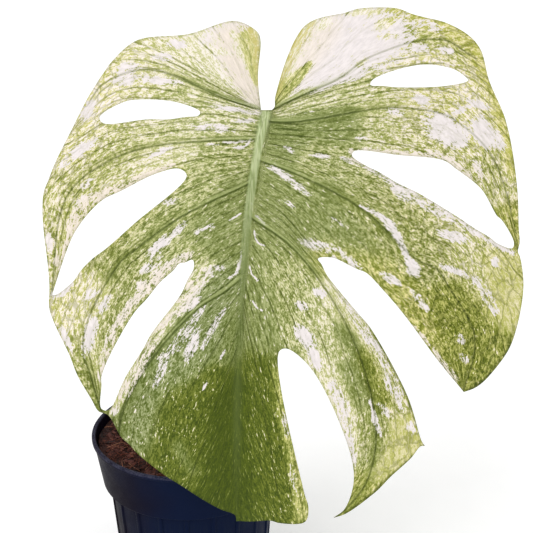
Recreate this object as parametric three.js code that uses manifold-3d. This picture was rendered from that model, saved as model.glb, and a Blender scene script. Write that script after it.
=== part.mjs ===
// White-variegated monstera cutting in a round nursery pot. Millimetres, +Z up,
// the pot's foot centred on the origin and the face of the leaf turned to -Y.
import * as THREE from "three";
import { mergeVertices } from "three/addons/utils/BufferGeometryUtils.js";
import Module from "manifold-3d";

const wasm = await Module();
wasm.setup();

// Sizes of the pot.
const POT_HEIGHT = 110;
const POT_WALL = 1.2;
const LIP_RADIUS = 61;
const LIP_DEPTH = 2.4;
const BAND_TOP_RADIUS = 59.8;
const BAND_FOOT_RADIUS = 55.6;
const BAND_DEPTH = 31;
const BODY_TOP_RADIUS = 51;
const BODY_FOOT_RADIUS = 45.5;
const SHOULDER_DROP = 2.2;
const FOOT_RING_WIDTH = 4;
const FOOT_HEIGHT = 2.6;
const CENTRE_PAD_RADIUS = 12;
const POT_SIDES = 60;
const RIB_COUNT = 20;
const RIB_WIDTH = 3.2;
const RIB_RISE = 0.9;
const DRAIN_COUNT = 8;
const DRAIN_RADIUS = 4.2;
const DRAIN_CIRCLE = 30;

// Sizes of the potting mix.
const SEAT_GAP = 0.3;
const SOIL_LEVEL = 104;
const SOIL_RELIEF = 1.1;
const SOIL_RINGS = 8;
const SOIL_SECTORS = 60;
const CHIP_COUNT = 46;
const CHIP_FIELD = [17, 50];
const CHIP_LENGTH = [5, 10];
const CHIP_WIDTH = [2.4, 4.2];
const CHIP_HEIGHT = [2.2, 3.4];
const SOIL_SEED = 11;

// Length of a rod's pointed end for each millimetre of its radius.
const END_CAP = 0.5;

// Sizes of the stem and its roots: [x, y, z, radius] from low to high, then outward.
const STEM_SIDES = 12;
const STEM = [
  [-3, -1, 54, 4.5],
  [-3, -1, 56, 6.4],
  [-2.6, -0.8, 64, 6.8],
  [-2.3, -0.6, 68, 7.8],
  [-2, -0.4, 72, 6.7],
  [-1.2, 0, 82, 6.8],
  [-0.9, 0.2, 86, 7.7],
  [-0.6, 0.4, 90, 6.7],
  [0.2, 0.8, 99, 6.6],
  [0.5, 1, 102.5, 7.5],
  [0.8, 1.1, 106, 6.5],
  [1.6, 1.5, 114, 6],
  [2, 1.7, 119, 4.8],
  [2.3, 1.9, 122, 2.6],
];
const ROOT_SIDES = 7;
const ROOTS = [
  [
    [-2, 0, 102, 2],
    [-12, -7, 107, 1.9],
    [-19, -11.5, 109, 1.7],
    [-25, -15, 105.5, 1.6],
    [-28, -18, 97, 1.5],
    [-29, -20, 84, 1.2],
    [-27, -23, 70, 0.8],
  ],
  [
    [-2, 0, 86, 2],
    [8, 5, 84, 1.9],
    [19, 10, 77, 1.7],
    [28, 14, 62, 1.5],
    [31, 14, 44, 1.3],
    [27, 10, 27, 1],
    [17, 4, 17, 0.8],
  ],
  [
    [-2, -1, 68, 2],
    [-10, 5, 63, 1.9],
    [-19, 13, 54, 1.7],
    [-27, 18, 40, 1.4],
    [-27, 14, 24, 1.1],
    [-20, 5, 14, 0.8],
  ],
  [
    [-3, -1, 60, 2],
    [1, -9, 54, 1.9],
    [6, -19, 45, 1.7],
    [8, -28, 31, 1.4],
    [3, -31, 18, 1.1],
    [-9, -29, 11, 0.8],
  ],
  [
    [-3, -1, 58, 2],
    [-2, 1, 48, 1.8],
    [3, 6, 36, 1.6],
    [4, 15, 25, 1.3],
    [-2, 25, 16, 0.9],
  ],
];

// Place of the blade: its base in the sinus, and how far it leans back from upright.
const BLADE_BASE = new THREE.Vector3(49, -8, 309);
const BLADE_LEAN = THREE.MathUtils.degToRad(20);

// Sizes of the petiole: [x, y, z, radius] from the clasping foot to the bend below the blade.
const PETIOLE = [
  [3.4, 2.6, 111.2, 6.2],
  [4, 2.8, 113, 7.9],
  [5, 3.2, 119.5, 7.9],
  [7.2, 4, 127, 6.5],
  [10.4, 4.8, 138, 5],
  [14.8, 5.8, 151, 4],
  [21.5, 6.8, 170, 3.6],
  [29, 7.2, 191, 3.4],
  [36.6, 6.8, 215, 3.3],
  [42.8, 5.4, 238, 3.2],
  [46.8, 3.4, 260, 3.2],
  [48.6, 1, 280, 3.3],
  [49, -1.2, 293, 3.4],
];
const PETIOLE_STEPS = 26;
const ROD_SIDES = 10;
const BEND_REACH = 4.2;
const BEND_RADIUS = 3.1;
const BEND_STEPS = 7;

// Sizes of the midrib, which the bend runs out into.
const MIDRIB_TOP = -6.6;
const MIDRIB_END = -224;
const MIDRIB_STEPS = 24;
const MIDRIB_RADIUS = 2.5;
const MIDRIB_END_RADIUS = 0.7;
const MIDRIB_SINK = 0.45;
const MIDRIB_SHIFT = 19.5;
const MIDRIB_SHIFT_LENGTH = 75;

// Form of the blade.
const BLADE_THICKNESS = 0.9;
const CHANNEL_DEPTH = 5.5;
const CHANNEL_REACH = 14;
const SIDE_DROOP = 0.0015;
const LENGTH_ARCH = 0.0006;
const ARCH_CROWN = -75;
const APEX_CURL = 8e-6;
const APEX_CURL_START = -135;
const RIDGE_HEIGHT = 1.8;
const RIDGE_REACH = 12;
const WAVE_HEIGHT = 2;
const WAVE_CENTRE = [0, -80];
const WAVE_START = 66;
const WAVE_FULL = 138;
const WAVES = [
  [7, 0.6, 1],
  [13, 2.1, 0.55],
];

// Mesh of the blade.
const EDGE_STEP = 4.8;
const GRID_STEP = 6.7;
const EDGE_CLEARANCE = 0.62;
const GRID_JITTER = 0.12;
const GRID_SEED = 5;

// Outer edge of the blade, [u, v] from the sinus: u to the right of the face, v up it.
// Each stroke runs from one corner to the next, anticlockwise as the face is seen.
const LEFT_EDGE = [
  [-3, 0.5],
  [-4.5, 19],
  [-3, 41],
  [-5, 45.5],
  [-16.5, 50.5],
  [-42, 42.5],
  [-72, 41],
  [-85, 31],
  [-91, 23],
  [-102.5, 5],
  [-116.5, -22],
  [-122, -36.5],
  [-124.5, -43.5],
  [-125, -60.5],
  [-121.5, -95],
  [-121.5, -109],
  [-109.5, -134.5],
  [-105.5, -144],
  [-97.5, -157],
  [-93.5, -164],
  [-88.5, -166],
  [-81.5, -179],
  [-77.5, -183],
  [-73, -188.5],
  [-58.5, -200],
  [-49, -206],
  [-27.5, -221],
  [-19.5, -225],
  [-19, -228.5],
];
const APEX_AND_INNER_SLIT = [
  [-19, -228.5],
  [-12, -228.5],
  [0, -227],
  [5.5, -228.5],
  [19.5, -228.5],
  [21.5, -220],
  [19, -210.5],
  [5.5, -132],
  [9.5, -130],
  [19.5, -137],
  [30, -152.5],
  [45, -190],
  [47, -207],
  [42, -222.5],
  [36, -227],
];
const LOWER_RIGHT_TIP = [
  [36, -227],
  [43, -225],
  [59.5, -213],
  [68, -204],
  [79.5, -193.5],
  [85, -187],
  [87.5, -187],
];
const OUTER_SLIT = [
  [87.5, -187],
  [85.5, -184],
  [77, -158],
  [55.5, -119],
  [49.5, -112],
  [32, -90.5],
  [29, -84.5],
  [27, -81.5],
  [35, -81],
  [48, -87],
  [54, -89.5],
  [61.5, -97],
  [75, -112.5],
  [95, -139],
  [110, -157],
];
const RIGHT_EDGE = [
  [110, -157],
  [117, -155],
  [123.5, -151],
  [137.5, -137],
  [142, -129.5],
  [146.5, -114.5],
  [148, -96.5],
  [145, -81],
  [143.5, -78],
  [144.5, -72.5],
  [144, -66],
  [143.5, -42],
  [137, -2.5],
  [127.5, 21],
  [122.5, 37.5],
  [116, 44.5],
  [101, 51],
  [90, 53],
  [81.5, 55],
  [73.5, 58],
  [52, 57.5],
  [44.5, 55],
  [21.5, 47],
  [5, 8],
  [4.5, 2],
  [3, 0.5],
];
const OUTER_STROKES = [
  LEFT_EDGE,
  APEX_AND_INNER_SLIT,
  LOWER_RIGHT_TIP,
  OUTER_SLIT,
  RIGHT_EDGE,
];

// Slits closed at the margin by a thin bridge, and small holes beside the midrib's top.
const HOLES = {
  upperLeftSlit: [
    [-120, -100],
    [-119.5, -98.5],
    [-107, -66.5],
    [-91, -48.5],
    [-80.5, -43.5],
    [-61, -34.5],
    [-47.5, -32],
    [-43.5, -36],
    [-72.5, -61.5],
    [-88, -74.5],
    [-96, -80],
    [-103, -86.5],
    [-107.5, -92.5],
    [-117.5, -100],
  ],
  lowerLeftSlit: [
    [-92, -162.5],
    [-91.5, -149.5],
    [-91.5, -145],
    [-86.5, -132.5],
    [-73, -110],
    [-66, -102.5],
    [-58.5, -93.5],
    [-51, -87],
    [-48, -83.5],
    [-45, -83],
    [-40.5, -81.5],
    [-40, -86],
    [-43.5, -92.5],
    [-47, -100],
    [-63.5, -121.5],
    [-68, -129.5],
    [-78, -145],
    [-88, -163.5],
  ],
  rightSlit: [
    [46.5, -25.5],
    [47.5, -23],
    [72, -24.5],
    [99, -27],
    [106, -31.5],
    [121.5, -43],
    [130.5, -57.5],
    [133.5, -60],
    [141, -73],
    [140, -76],
    [130, -73],
    [126, -70],
    [117, -65],
    [106.5, -58.5],
    [83.5, -45.5],
    [71.5, -40],
    [62, -34.5],
    [54.5, -31],
  ],
  leftEye: [
    [-93, -1.5],
    [-79, 6.5],
    [-69, 7.5],
    [-49.5, 5],
    [-36, -1],
    [-37, -3],
    [-44, -3.5],
    [-53.5, -4.5],
    [-65, -4],
    [-90.5, -5],
  ],
  rightEye: [
    [57, 13.5],
    [58.5, 16.5],
    [86.5, 26],
    [106, 25],
    [113.5, 21],
    [115, 19.5],
    [99.5, 15],
    [72, 12.5],
    [64.5, 13],
  ],
};

// Main side veins, from the midrib to the margin, along which the blade is raised.
const SIDE_VEINS = [
  [[-5, 2], [-23, 7], [-66, 24], [-91, 17], [-99, 7]],
  [[-8, -15], [-66, -20], [-90, -28], [-108, -42], [-116, -61], [-120, -97]],
  [[-10, -39], [-47, -58], [-71, -75], [-80, -82], [-99, -114], [-102, -132], [-98, -143], [-92, -164]],
  [[-15, -91], [-24, -98], [-38, -107], [-62, -133], [-80, -164], [-83, -177]],
  [[4, 2], [41, 18], [55, 28], [98, 41], [119, 32]],
  [[2, -5], [17, -6], [69, 1], [94, 0], [104, -3], [124, -19], [135, -40], [142, -67]],
  [[-5, -26], [12, -33], [52, -55], [83, -83], [93, -87], [102, -99], [116, -121], [117, -134], [110, -156]],
  [[-11, -56], [15, -76], [45, -123], [59, -174], [55, -205], [46, -219], [37, -227]],
];

/** A repeatable run of numbers from 0 to 1. */
function seeded(seed) {
  let state = seed;
  return () => {
    state = (state * 1664525 + 1013904223) % 4294967296;
    return state / 4294967296;
  };
}

const between = (draw, [low, high]) => low + (high - low) * draw();

const smoothstep = (low, high, x) => THREE.MathUtils.smoothstep(x, low, high);

/** A closed triangle mesh from points and index triples, as a solid. */
function solidFrom(points, triangles) {
  const geometry = new THREE.BufferGeometry();
  geometry.setAttribute("position", new THREE.Float32BufferAttribute(points.flat(), 3));
  geometry.setIndex(triangles.flat());
  return solidOf(geometry);
}

/** A three.js geometry as a solid. */
function solidOf(geometry) {
  const bare = new THREE.BufferGeometry();
  bare.setAttribute("position", geometry.getAttribute("position").clone());
  bare.setIndex(geometry.index ? geometry.index.clone() : null);
  const merged = mergeVertices(bare, 1e-3);
  return new wasm.Manifold(
    new wasm.Mesh({
      numProp: 3,
      vertProperties: new Float32Array(merged.attributes.position.array),
      triVerts: new Uint32Array(merged.index.array),
    }),
  );
}

const joined = (solids) => wasm.Manifold.union(solids);

/** The largest body of a solid, without the crumbs that a cut leaves. */
function largestBody(solid) {
  return solid
    .decompose()
    .reduce((best, body) => (body.volume() > best.volume() ? body : best));
}

/** A named mesh with its own material, from a solid. */
function meshOf(name, solid, color, roughness) {
  const { vertProperties, triVerts } = solid.getMesh();
  const geometry = new THREE.BufferGeometry();
  geometry.setAttribute("position", new THREE.BufferAttribute(vertProperties, 3));
  geometry.setIndex(new THREE.BufferAttribute(triVerts, 1));
  const flat = geometry.toNonIndexed();
  flat.computeVertexNormals();
  const mesh = new THREE.Mesh(flat, new THREE.MeshStandardMaterial({ color, roughness }));
  mesh.name = name;
  return mesh;
}

/** A turned body from [radius, height] points that start and end on the axis, or close. */
function turned(profile, sides) {
  const points = profile.map(([r, z]) => new THREE.Vector2(r, z));
  const geometry = new THREE.LatheGeometry(points, sides);
  geometry.rotateX(Math.PI / 2);
  return solidOf(geometry);
}

/** A round rod through centres with their own radii, closed by a point at each end. */
function rod(centres, radii, sides, overrun = 0) {
  const path = centres.map((c) => c.clone());
  const final = path.length - 1;
  const outward = (end, inner) => centres[end].clone().sub(centres[inner]).normalize();
  path[0].addScaledVector(outward(0, 1), overrun);
  path[final].addScaledVector(outward(final, final - 1), overrun);
  const points = [];
  const triangles = [];
  const normal = new THREE.Vector3(1, 0, 0);
  path.forEach((_, i) => {
    const before = path[Math.max(i - 1, 0)];
    const after = path[Math.min(i + 1, path.length - 1)];
    const along = after.clone().sub(before).normalize();
    normal.addScaledVector(along, -normal.dot(along)).normalize();
    const across = along.clone().cross(normal);
    for (let k = 0; k < sides; k += 1) {
      const turn = (2 * Math.PI * k) / sides;
      const point = path[i]
        .clone()
        .addScaledVector(normal, radii[i] * Math.cos(turn))
        .addScaledVector(across, radii[i] * Math.sin(turn));
      points.push(point.toArray());
    }
  });
  const last = path.length - 1;
  const start = path[0].clone().addScaledVector(outward(0, 1), END_CAP * radii[0]);
  const end = path[last].clone().addScaledVector(outward(last, last - 1), END_CAP * radii[last]);
  points.push(start.toArray(), end.toArray());
  for (let i = 0; i <= last; i += 1) {
    for (let k = 0; k < sides; k += 1) {
      const a = i * sides + k;
      const b = i * sides + ((k + 1) % sides);
      if (i === 0) triangles.push([points.length - 2, b, a]);
      if (i === last) triangles.push([points.length - 1, a, b]);
      else triangles.push([a, b, b + sides], [a, b + sides, a + sides]);
    }
  }
  return solidFrom(points, triangles);
}

/** A rod along a smooth curve through [x, y, z, radius] stations. */
function taperedRod(stations, steps, sides, swell = 0) {
  const curve = new THREE.CatmullRomCurve3(stations.map(([x, y, z]) => new THREE.Vector3(x, y, z)));
  const centres = [];
  const radii = [];
  for (let i = 0; i <= steps; i += 1) {
    const share = i / steps;
    const at = share * (stations.length - 1);
    const low = Math.min(Math.floor(at), stations.length - 2);
    centres.push(curve.getPoint(share));
    radii.push(THREE.MathUtils.lerp(stations[low][3], stations[low + 1][3], at - low) + swell);
  }
  return rod(centres, radii, sides, swell);
}

// The pot.

/** Radius of the pot's outer face at a height, from the shoulder down. */
function bodyRadius(z) {
  const top = POT_HEIGHT - BAND_DEPTH - SHOULDER_DROP;
  return THREE.MathUtils.lerp(BODY_FOOT_RADIUS, BODY_TOP_RADIUS, z / top);
}

function makePot() {
  const bandFoot = POT_HEIGHT - BAND_DEPTH;
  const shoulder = bandFoot - SHOULDER_DROP;
  const floor = FOOT_HEIGHT + POT_WALL;
  const ringInner = BODY_FOOT_RADIUS - FOOT_RING_WIDTH;
  const shell = turned(
    [
      [0, 0],
      [CENTRE_PAD_RADIUS, 0],
      [CENTRE_PAD_RADIUS + 1.5, FOOT_HEIGHT],
      [ringInner - 1, FOOT_HEIGHT],
      [ringInner, 0],
      [BODY_FOOT_RADIUS - 1, 0],
      [BODY_FOOT_RADIUS, 1.2],
      [BODY_TOP_RADIUS, shoulder],
      [BAND_FOOT_RADIUS, bandFoot],
      [BAND_FOOT_RADIUS + 0.3, bandFoot + 2],
      [BAND_TOP_RADIUS, POT_HEIGHT - LIP_DEPTH - 0.8],
      [LIP_RADIUS, POT_HEIGHT - LIP_DEPTH],
      [LIP_RADIUS, POT_HEIGHT - 0.6],
      [LIP_RADIUS - 0.5, POT_HEIGHT],
      [LIP_RADIUS - 2.2, POT_HEIGHT],
      [BAND_TOP_RADIUS - POT_WALL, POT_HEIGHT - LIP_DEPTH],
      [BAND_FOOT_RADIUS - POT_WALL, bandFoot + 1.7],
      [BODY_TOP_RADIUS - POT_WALL, shoulder + 0.6],
      [bodyRadius(floor) - POT_WALL, floor],
      [0, floor],
    ],
    POT_SIDES,
  );
  const ribs = [];
  for (let i = 0; i < RIB_COUNT; i += 1) {
    ribs.push(makeRib((2 * Math.PI * i) / RIB_COUNT, shoulder));
  }
  const drains = [];
  for (let i = 0; i < DRAIN_COUNT; i += 1) {
    const turn = (2 * Math.PI * (i + 0.5)) / DRAIN_COUNT;
    const hole = new THREE.CylinderGeometry(DRAIN_RADIUS, DRAIN_RADIUS, 4 * FOOT_HEIGHT, 12);
    hole.rotateX(Math.PI / 2);
    hole.translate(DRAIN_CIRCLE * Math.cos(turn), DRAIN_CIRCLE * Math.sin(turn), FOOT_HEIGHT);
    drains.push(solidOf(hole));
  }
  return joined([shell, ...ribs]).subtract(joined(drains));
}

/** A low upright rib on the pot's body, fading out toward the foot. */
function makeRib(turn, shoulder) {
  const shape = new THREE.Shape([
    new THREE.Vector2(bodyRadius(8) - POT_WALL / 2, 8),
    new THREE.Vector2(bodyRadius(22) + RIB_RISE, 22),
    new THREE.Vector2(bodyRadius(shoulder) + RIB_RISE, shoulder),
    new THREE.Vector2(bodyRadius(shoulder) + RIB_RISE, shoulder + 0.5),
    new THREE.Vector2(bodyRadius(shoulder) - POT_WALL / 2, shoulder),
  ]);
  const rib = new THREE.ExtrudeGeometry(shape, { depth: RIB_WIDTH, bevelEnabled: false });
  rib.translate(0, 0, -RIB_WIDTH / 2);
  rib.rotateX(Math.PI / 2);
  rib.rotateZ(turn);
  return solidOf(rib);
}

// The potting mix.

/** Uneven height of the potting mix above its mean level. */
function soilRelief(x, y) {
  const waves = Math.sin(x * 0.21 + 1.3) * Math.cos(y * 0.18 - 0.4) + 0.6 * Math.sin(x * 0.43 - y * 0.37);
  const mound = 2.2 * Math.exp(-(x * x + y * y) / 300);
  return SOIL_RELIEF * waves + mound;
}

function makeSoilBody() {
  const floor = FOOT_HEIGHT + POT_WALL + SEAT_GAP;
  const inset = POT_WALL + SEAT_GAP + 0.1;
  const bandFoot = POT_HEIGHT - BAND_DEPTH;
  const shoulder = bandFoot - SHOULDER_DROP;
  const share = (SOIL_LEVEL - bandFoot) / BAND_DEPTH;
  const topRadius = THREE.MathUtils.lerp(BAND_FOOT_RADIUS, BAND_TOP_RADIUS, share) - inset - 0.3;
  const rings = [
    [bodyRadius(floor) - inset - 0.4, floor],
    [bodyRadius(shoulder) - inset, shoulder + 0.8],
    [BAND_FOOT_RADIUS - inset, bandFoot + 2.2],
    [topRadius, SOIL_LEVEL - 2.5],
  ];
  const points = [[0, 0, floor]];
  const triangles = [];
  const ringStart = (i) => 1 + i * SOIL_SECTORS;
  const addRing = (radius, heightAt) => {
    for (let k = 0; k < SOIL_SECTORS; k += 1) {
      const turn = (2 * Math.PI * k) / SOIL_SECTORS;
      const x = radius * Math.cos(turn);
      const y = radius * Math.sin(turn);
      points.push([x, y, heightAt(x, y)]);
    }
  };
  rings.forEach(([radius, z]) => addRing(radius, () => z));
  for (let i = SOIL_RINGS; i >= 1; i -= 1) {
    const radius = (topRadius * i) / SOIL_RINGS;
    addRing(radius, (x, y) => SOIL_LEVEL + soilRelief(x, y));
  }
  const last = rings.length + SOIL_RINGS - 1;
  points.push([0, 0, SOIL_LEVEL + soilRelief(0, 0)]);
  for (let k = 0; k < SOIL_SECTORS; k += 1) {
    const next = (k + 1) % SOIL_SECTORS;
    triangles.push([0, 1 + next, 1 + k]);
    triangles.push([points.length - 1, ringStart(last) + k, ringStart(last) + next]);
    for (let i = 0; i < last; i += 1) {
      const a = ringStart(i) + k;
      const b = ringStart(i) + next;
      triangles.push([a, b, b + SOIL_SECTORS], [a, b + SOIL_SECTORS, a + SOIL_SECTORS]);
    }
  }
  return solidFrom(points, triangles);
}

/** Bark and coir chips lying on the mix, half sunk in it. */
function makeChips() {
  const draw = seeded(SOIL_SEED);
  const chips = [];
  for (let i = 0; i < CHIP_COUNT; i += 1) {
    const turn = 2.39996 * i + 0.6 * draw();
    const share = (i + 0.5) / CHIP_COUNT;
    const radius = Math.sqrt(THREE.MathUtils.lerp(CHIP_FIELD[0] ** 2, CHIP_FIELD[1] ** 2, share));
    const x = radius * Math.cos(turn);
    const y = radius * Math.sin(turn);
    const long = between(draw, CHIP_LENGTH);
    const wide = between(draw, CHIP_WIDTH);
    const high = between(draw, CHIP_HEIGHT);
    const chip = new THREE.BoxGeometry(long, wide, high);
    const corners = chip.attributes.position;
    for (let k = 0; k < corners.count; k += 1) {
      const end = Math.sign(corners.getX(k)) * Math.sign(corners.getY(k) + 2 * corners.getZ(k));
      corners.setY(k, corners.getY(k) * (0.75 + 0.2 * end));
      corners.setZ(k, corners.getZ(k) * (0.85 - 0.15 * end));
    }
    chip.rotateY(0.35 * (draw() - 0.5));
    chip.rotateX(0.5 * (draw() - 0.5));
    chip.rotateZ(2 * Math.PI * draw());
    chip.translate(x, y, SOIL_LEVEL + soilRelief(x, y) + 0.12 * high);
    chips.push(solidOf(chip));
  }
  return chips;
}

// The stem with its roots.

function makeStem(swell = 0) {
  const parts = [rod(
    STEM.map(([x, y, z]) => new THREE.Vector3(x, y, z)),
    STEM.map(([, , , radius]) => radius + swell),
    STEM_SIDES,
    swell,
  )];
  ROOTS.forEach((root) => {
    parts.push(taperedRod(root, 2 * (root.length - 1), ROOT_SIDES, swell));
  });
  return joined(parts);
}

// The blade.

/** Sideways place of the midrib at a height on the blade. */
const midribAt = (v) => -MIDRIB_SHIFT * (1 - Math.exp(Math.min(v, 0) / MIDRIB_SHIFT_LENGTH));

/** Shortest distance from a point to an open line of points. */
function distanceToLine([u, v], line) {
  let best = Infinity;
  for (let i = 0; i + 1 < line.length; i += 1) {
    const [au, av] = line[i];
    const [bu, bv] = line[i + 1];
    const lengthSquared = (bu - au) ** 2 + (bv - av) ** 2;
    const raw = ((u - au) * (bu - au) + (v - av) * (bv - av)) / lengthSquared;
    const share = THREE.MathUtils.clamp(raw, 0, 1);
    best = Math.min(best, Math.hypot(u - au - share * (bu - au), v - av - share * (bv - av)));
  }
  return best;
}

/** A smooth centripetal curve through knots, with `steps` points to each span. */
function smoothLine(knots, closed, steps) {
  const curve = new THREE.CatmullRomCurve3(
    knots.map(([u, v]) => new THREE.Vector3(u, v, 0)),
    closed,
    "centripetal",
  );
  const spans = closed ? knots.length : knots.length - 1;
  const line = curve.getPoints(spans * steps).map(({ x, y }) => [x, y]);
  if (closed) line.pop();
  return line;
}

const VEIN_LINES = SIDE_VEINS.map((vein) => smoothLine(vein, false, 5));

/** Height of the blade's middle over its flat outline, toward the viewer of its face. */
function bladeHeight(u, v) {
  const aside = Math.abs(u - midribAt(v));
  const channel = CHANNEL_DEPTH * (1 - Math.exp(-((aside / CHANNEL_REACH) ** 2)));
  const arch = LENGTH_ARCH * (ARCH_CROWN ** 2 - (v - ARCH_CROWN) ** 2);
  const curl = APEX_CURL * Math.max(0, APEX_CURL_START - v) ** 3;
  const veinAway = Math.min(...VEIN_LINES.map((line) => distanceToLine([u, v], line)));
  const ridge = RIDGE_HEIGHT * Math.exp(-((veinAway / RIDGE_REACH) ** 2)) * smoothstep(4, 26, aside);
  const fromCentre = Math.hypot(u - WAVE_CENTRE[0], v - WAVE_CENTRE[1]);
  const turn = Math.atan2(v - WAVE_CENTRE[1], u - WAVE_CENTRE[0]);
  const waves = WAVES.reduce((sum, [count, phase, share]) => sum + share * Math.sin(count * turn + phase), 0);
  const wave = WAVE_HEIGHT * smoothstep(WAVE_START, WAVE_FULL, fromCentre) * waves;
  return channel - SIDE_DROOP * aside ** 2 + arch - curl + ridge + wave;
}

const BLADE_UP = new THREE.Vector3(0, Math.sin(BLADE_LEAN), Math.cos(BLADE_LEAN));
const BLADE_OUT = new THREE.Vector3(0, -Math.cos(BLADE_LEAN), Math.sin(BLADE_LEAN));

/** A point of the blade's own frame in the part's frame. */
function bladePoint(u, v, w) {
  return BLADE_BASE.clone()
    .addScaledVector(new THREE.Vector3(1, 0, 0), u)
    .addScaledVector(BLADE_UP, v)
    .addScaledVector(BLADE_OUT, w);
}

/** Points along a closed line at nearly even steps, with its corners kept. */
function evenLoop(strokes) {
  const loop = [];
  strokes.forEach((stroke) => {
    const lengths = [0];
    for (let i = 1; i < stroke.length; i += 1) {
      const step = Math.hypot(stroke[i][0] - stroke[i - 1][0], stroke[i][1] - stroke[i - 1][1]);
      lengths.push(lengths[i - 1] + step);
    }
    const total = lengths[lengths.length - 1];
    const count = Math.max(1, Math.round(total / EDGE_STEP));
    let k = 1;
    for (let i = 0; i < count; i += 1) {
      const at = (total * i) / count;
      while (lengths[k] < at) k += 1;
      const share = (at - lengths[k - 1]) / (lengths[k] - lengths[k - 1]);
      loop.push([
        THREE.MathUtils.lerp(stroke[k - 1][0], stroke[k][0], share),
        THREE.MathUtils.lerp(stroke[k - 1][1], stroke[k][1], share),
      ]);
    }
  });
  return loop;
}

/** Halves the steps of loops that run close to other points, so narrow bridges mesh well. */
function refineLoops(loops) {
  let again = true;
  while (again) {
    again = false;
    const all = loops.flat();
    loops.forEach((loop) => {
      for (let i = 0; i < loop.length; i += 1) {
        const a = loop[i];
        const b = loop[(i + 1) % loop.length];
        const middle = [(a[0] + b[0]) / 2, (a[1] + b[1]) / 2];
        const reach = Math.hypot(a[0] - b[0], a[1] - b[1]) / 2;
        const crowded = all.some(
          (p) => p !== a && p !== b && Math.hypot(p[0] - middle[0], p[1] - middle[1]) < reach * 1.02,
        );
        if (crowded && reach > 0.3) {
          loop.splice(i + 1, 0, middle);
          again = true;
          i += 1;
        }
      }
    });
  }
}

/** Whether a point lies within a closed loop. */
function within([u, v], loop) {
  let inside = false;
  for (let i = 0, j = loop.length - 1; i < loop.length; j = i, i += 1) {
    const [au, av] = loop[i];
    const [bu, bv] = loop[j];
    if (av > v !== bv > v && u < ((bu - au) * (v - av)) / (bv - av) + au) inside = !inside;
  }
  return inside;
}

/** The triangle of three points with the circle through them. */
function circled(points, a, b, c) {
  const [ax, ay] = points[a];
  const bx = points[b][0] - ax;
  const by = points[b][1] - ay;
  const cx = points[c][0] - ax;
  const cy = points[c][1] - ay;
  const twiceArea = bx * cy - by * cx;
  const x = (cy * (bx * bx + by * by) - by * (cx * cx + cy * cy)) / (2 * twiceArea);
  const y = (bx * (cx * cx + cy * cy) - cx * (bx * bx + by * by)) / (2 * twiceArea);
  const corners = twiceArea > 0 ? [a, b, c] : [a, c, b];
  return { corners, x: ax + x, y: ay + y, reachSquared: x * x + y * y };
}

/** Delaunay triangles of points in the plane, found by adding the points one by one. */
function delaunay(points) {
  const count = points.length;
  const far = 5000;
  const all = [...points, [-far, -far], [far, -far], [0, far]];
  let triangles = [circled(all, count, count + 1, count + 2)];
  points.forEach(([x, y], i) => {
    const rim = new Map();
    triangles = triangles.filter((triangle) => {
      if ((x - triangle.x) ** 2 + (y - triangle.y) ** 2 > triangle.reachSquared) return true;
      const [a, b, c] = triangle.corners;
      [[a, b], [b, c], [c, a]].forEach(([from, to]) => {
        if (!rim.delete(`${to} ${from}`)) rim.set(`${from} ${to}`, [from, to]);
      });
      return false;
    });
    rim.forEach(([from, to]) => triangles.push(circled(all, from, to, i)));
  });
  return triangles.map(({ corners }) => corners).filter((corners) => corners.every((c) => c < count));
}

function makeBlade() {
  const outer = evenLoop(OUTER_STROKES.map((knots) => smoothLine(knots, false, 12)).concat([
    [OUTER_STROKES.at(-1).at(-1), OUTER_STROKES[0][0]],
  ]));
  const holes = Object.values(HOLES).map((knots) => {
    const line = smoothLine(knots, true, 12);
    return evenLoop([[...line, line[0]]]);
  });
  const loops = [outer, ...holes];
  refineLoops(loops);
  const inBlade = (p) => within(p, outer) && !holes.some((hole) => within(p, hole));
  const closedLoops = loops.map((loop) => [...loop, loop[0]]);
  const draw = seeded(GRID_SEED);
  const grid = [];
  const rowStep = (GRID_STEP * Math.sqrt(3)) / 2;
  for (let row = 0, v = -234; v < 66; row += 1, v += rowStep) {
    for (let u = -128 + (row % 2) * (GRID_STEP / 2); u < 150; u += GRID_STEP) {
      const p = [u + GRID_JITTER * (draw() - 0.5), v + GRID_JITTER * (draw() - 0.5)];
      const clear = closedLoops.every((loop) => distanceToLine(p, loop) > EDGE_CLEARANCE * GRID_STEP);
      if (clear && inBlade(p)) grid.push(p);
    }
  }
  const flat = [...loops.flat(), ...grid];
  const faces = delaunay(flat).filter(([a, b, c]) => {
    const centre = [
      (flat[a][0] + flat[b][0] + flat[c][0]) / 3,
      (flat[a][1] + flat[b][1] + flat[c][1]) / 3,
    ];
    return inBlade(centre);
  });
  return thickened(flat, faces);
}

/** The blade's flat triangles lifted to its form and given a face, a back and an edge. */
function thickened(flat, faces) {
  const delta = 0.5;
  const front = [];
  const back = [];
  flat.forEach(([u, v]) => {
    const w = bladeHeight(u, v);
    const slopeU = (bladeHeight(u + delta, v) - w) / delta;
    const slopeV = (bladeHeight(u, v + delta) - w) / delta;
    const lift = BLADE_THICKNESS / 2 / Math.hypot(1, slopeU, slopeV);
    front.push(bladePoint(u - lift * slopeU, v - lift * slopeV, w + lift).toArray());
    back.push(bladePoint(u + lift * slopeU, v + lift * slopeV, w - lift).toArray());
  });
  const count = flat.length;
  const edges = new Map();
  faces.forEach(([a, b, c]) => {
    [[a, b], [b, c], [c, a]].forEach(([from, to]) => {
      if (!edges.delete(`${to} ${from}`)) edges.set(`${from} ${to}`, [from, to]);
    });
  });
  const triangles = faces.flatMap(([a, b, c]) => [[a, b, c], [c + count, b + count, a + count]]);
  edges.forEach(([a, b]) => triangles.push([b, a, a + count], [b, a + count, b + count]));
  return solidFrom([...front, ...back], triangles);
}

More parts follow.
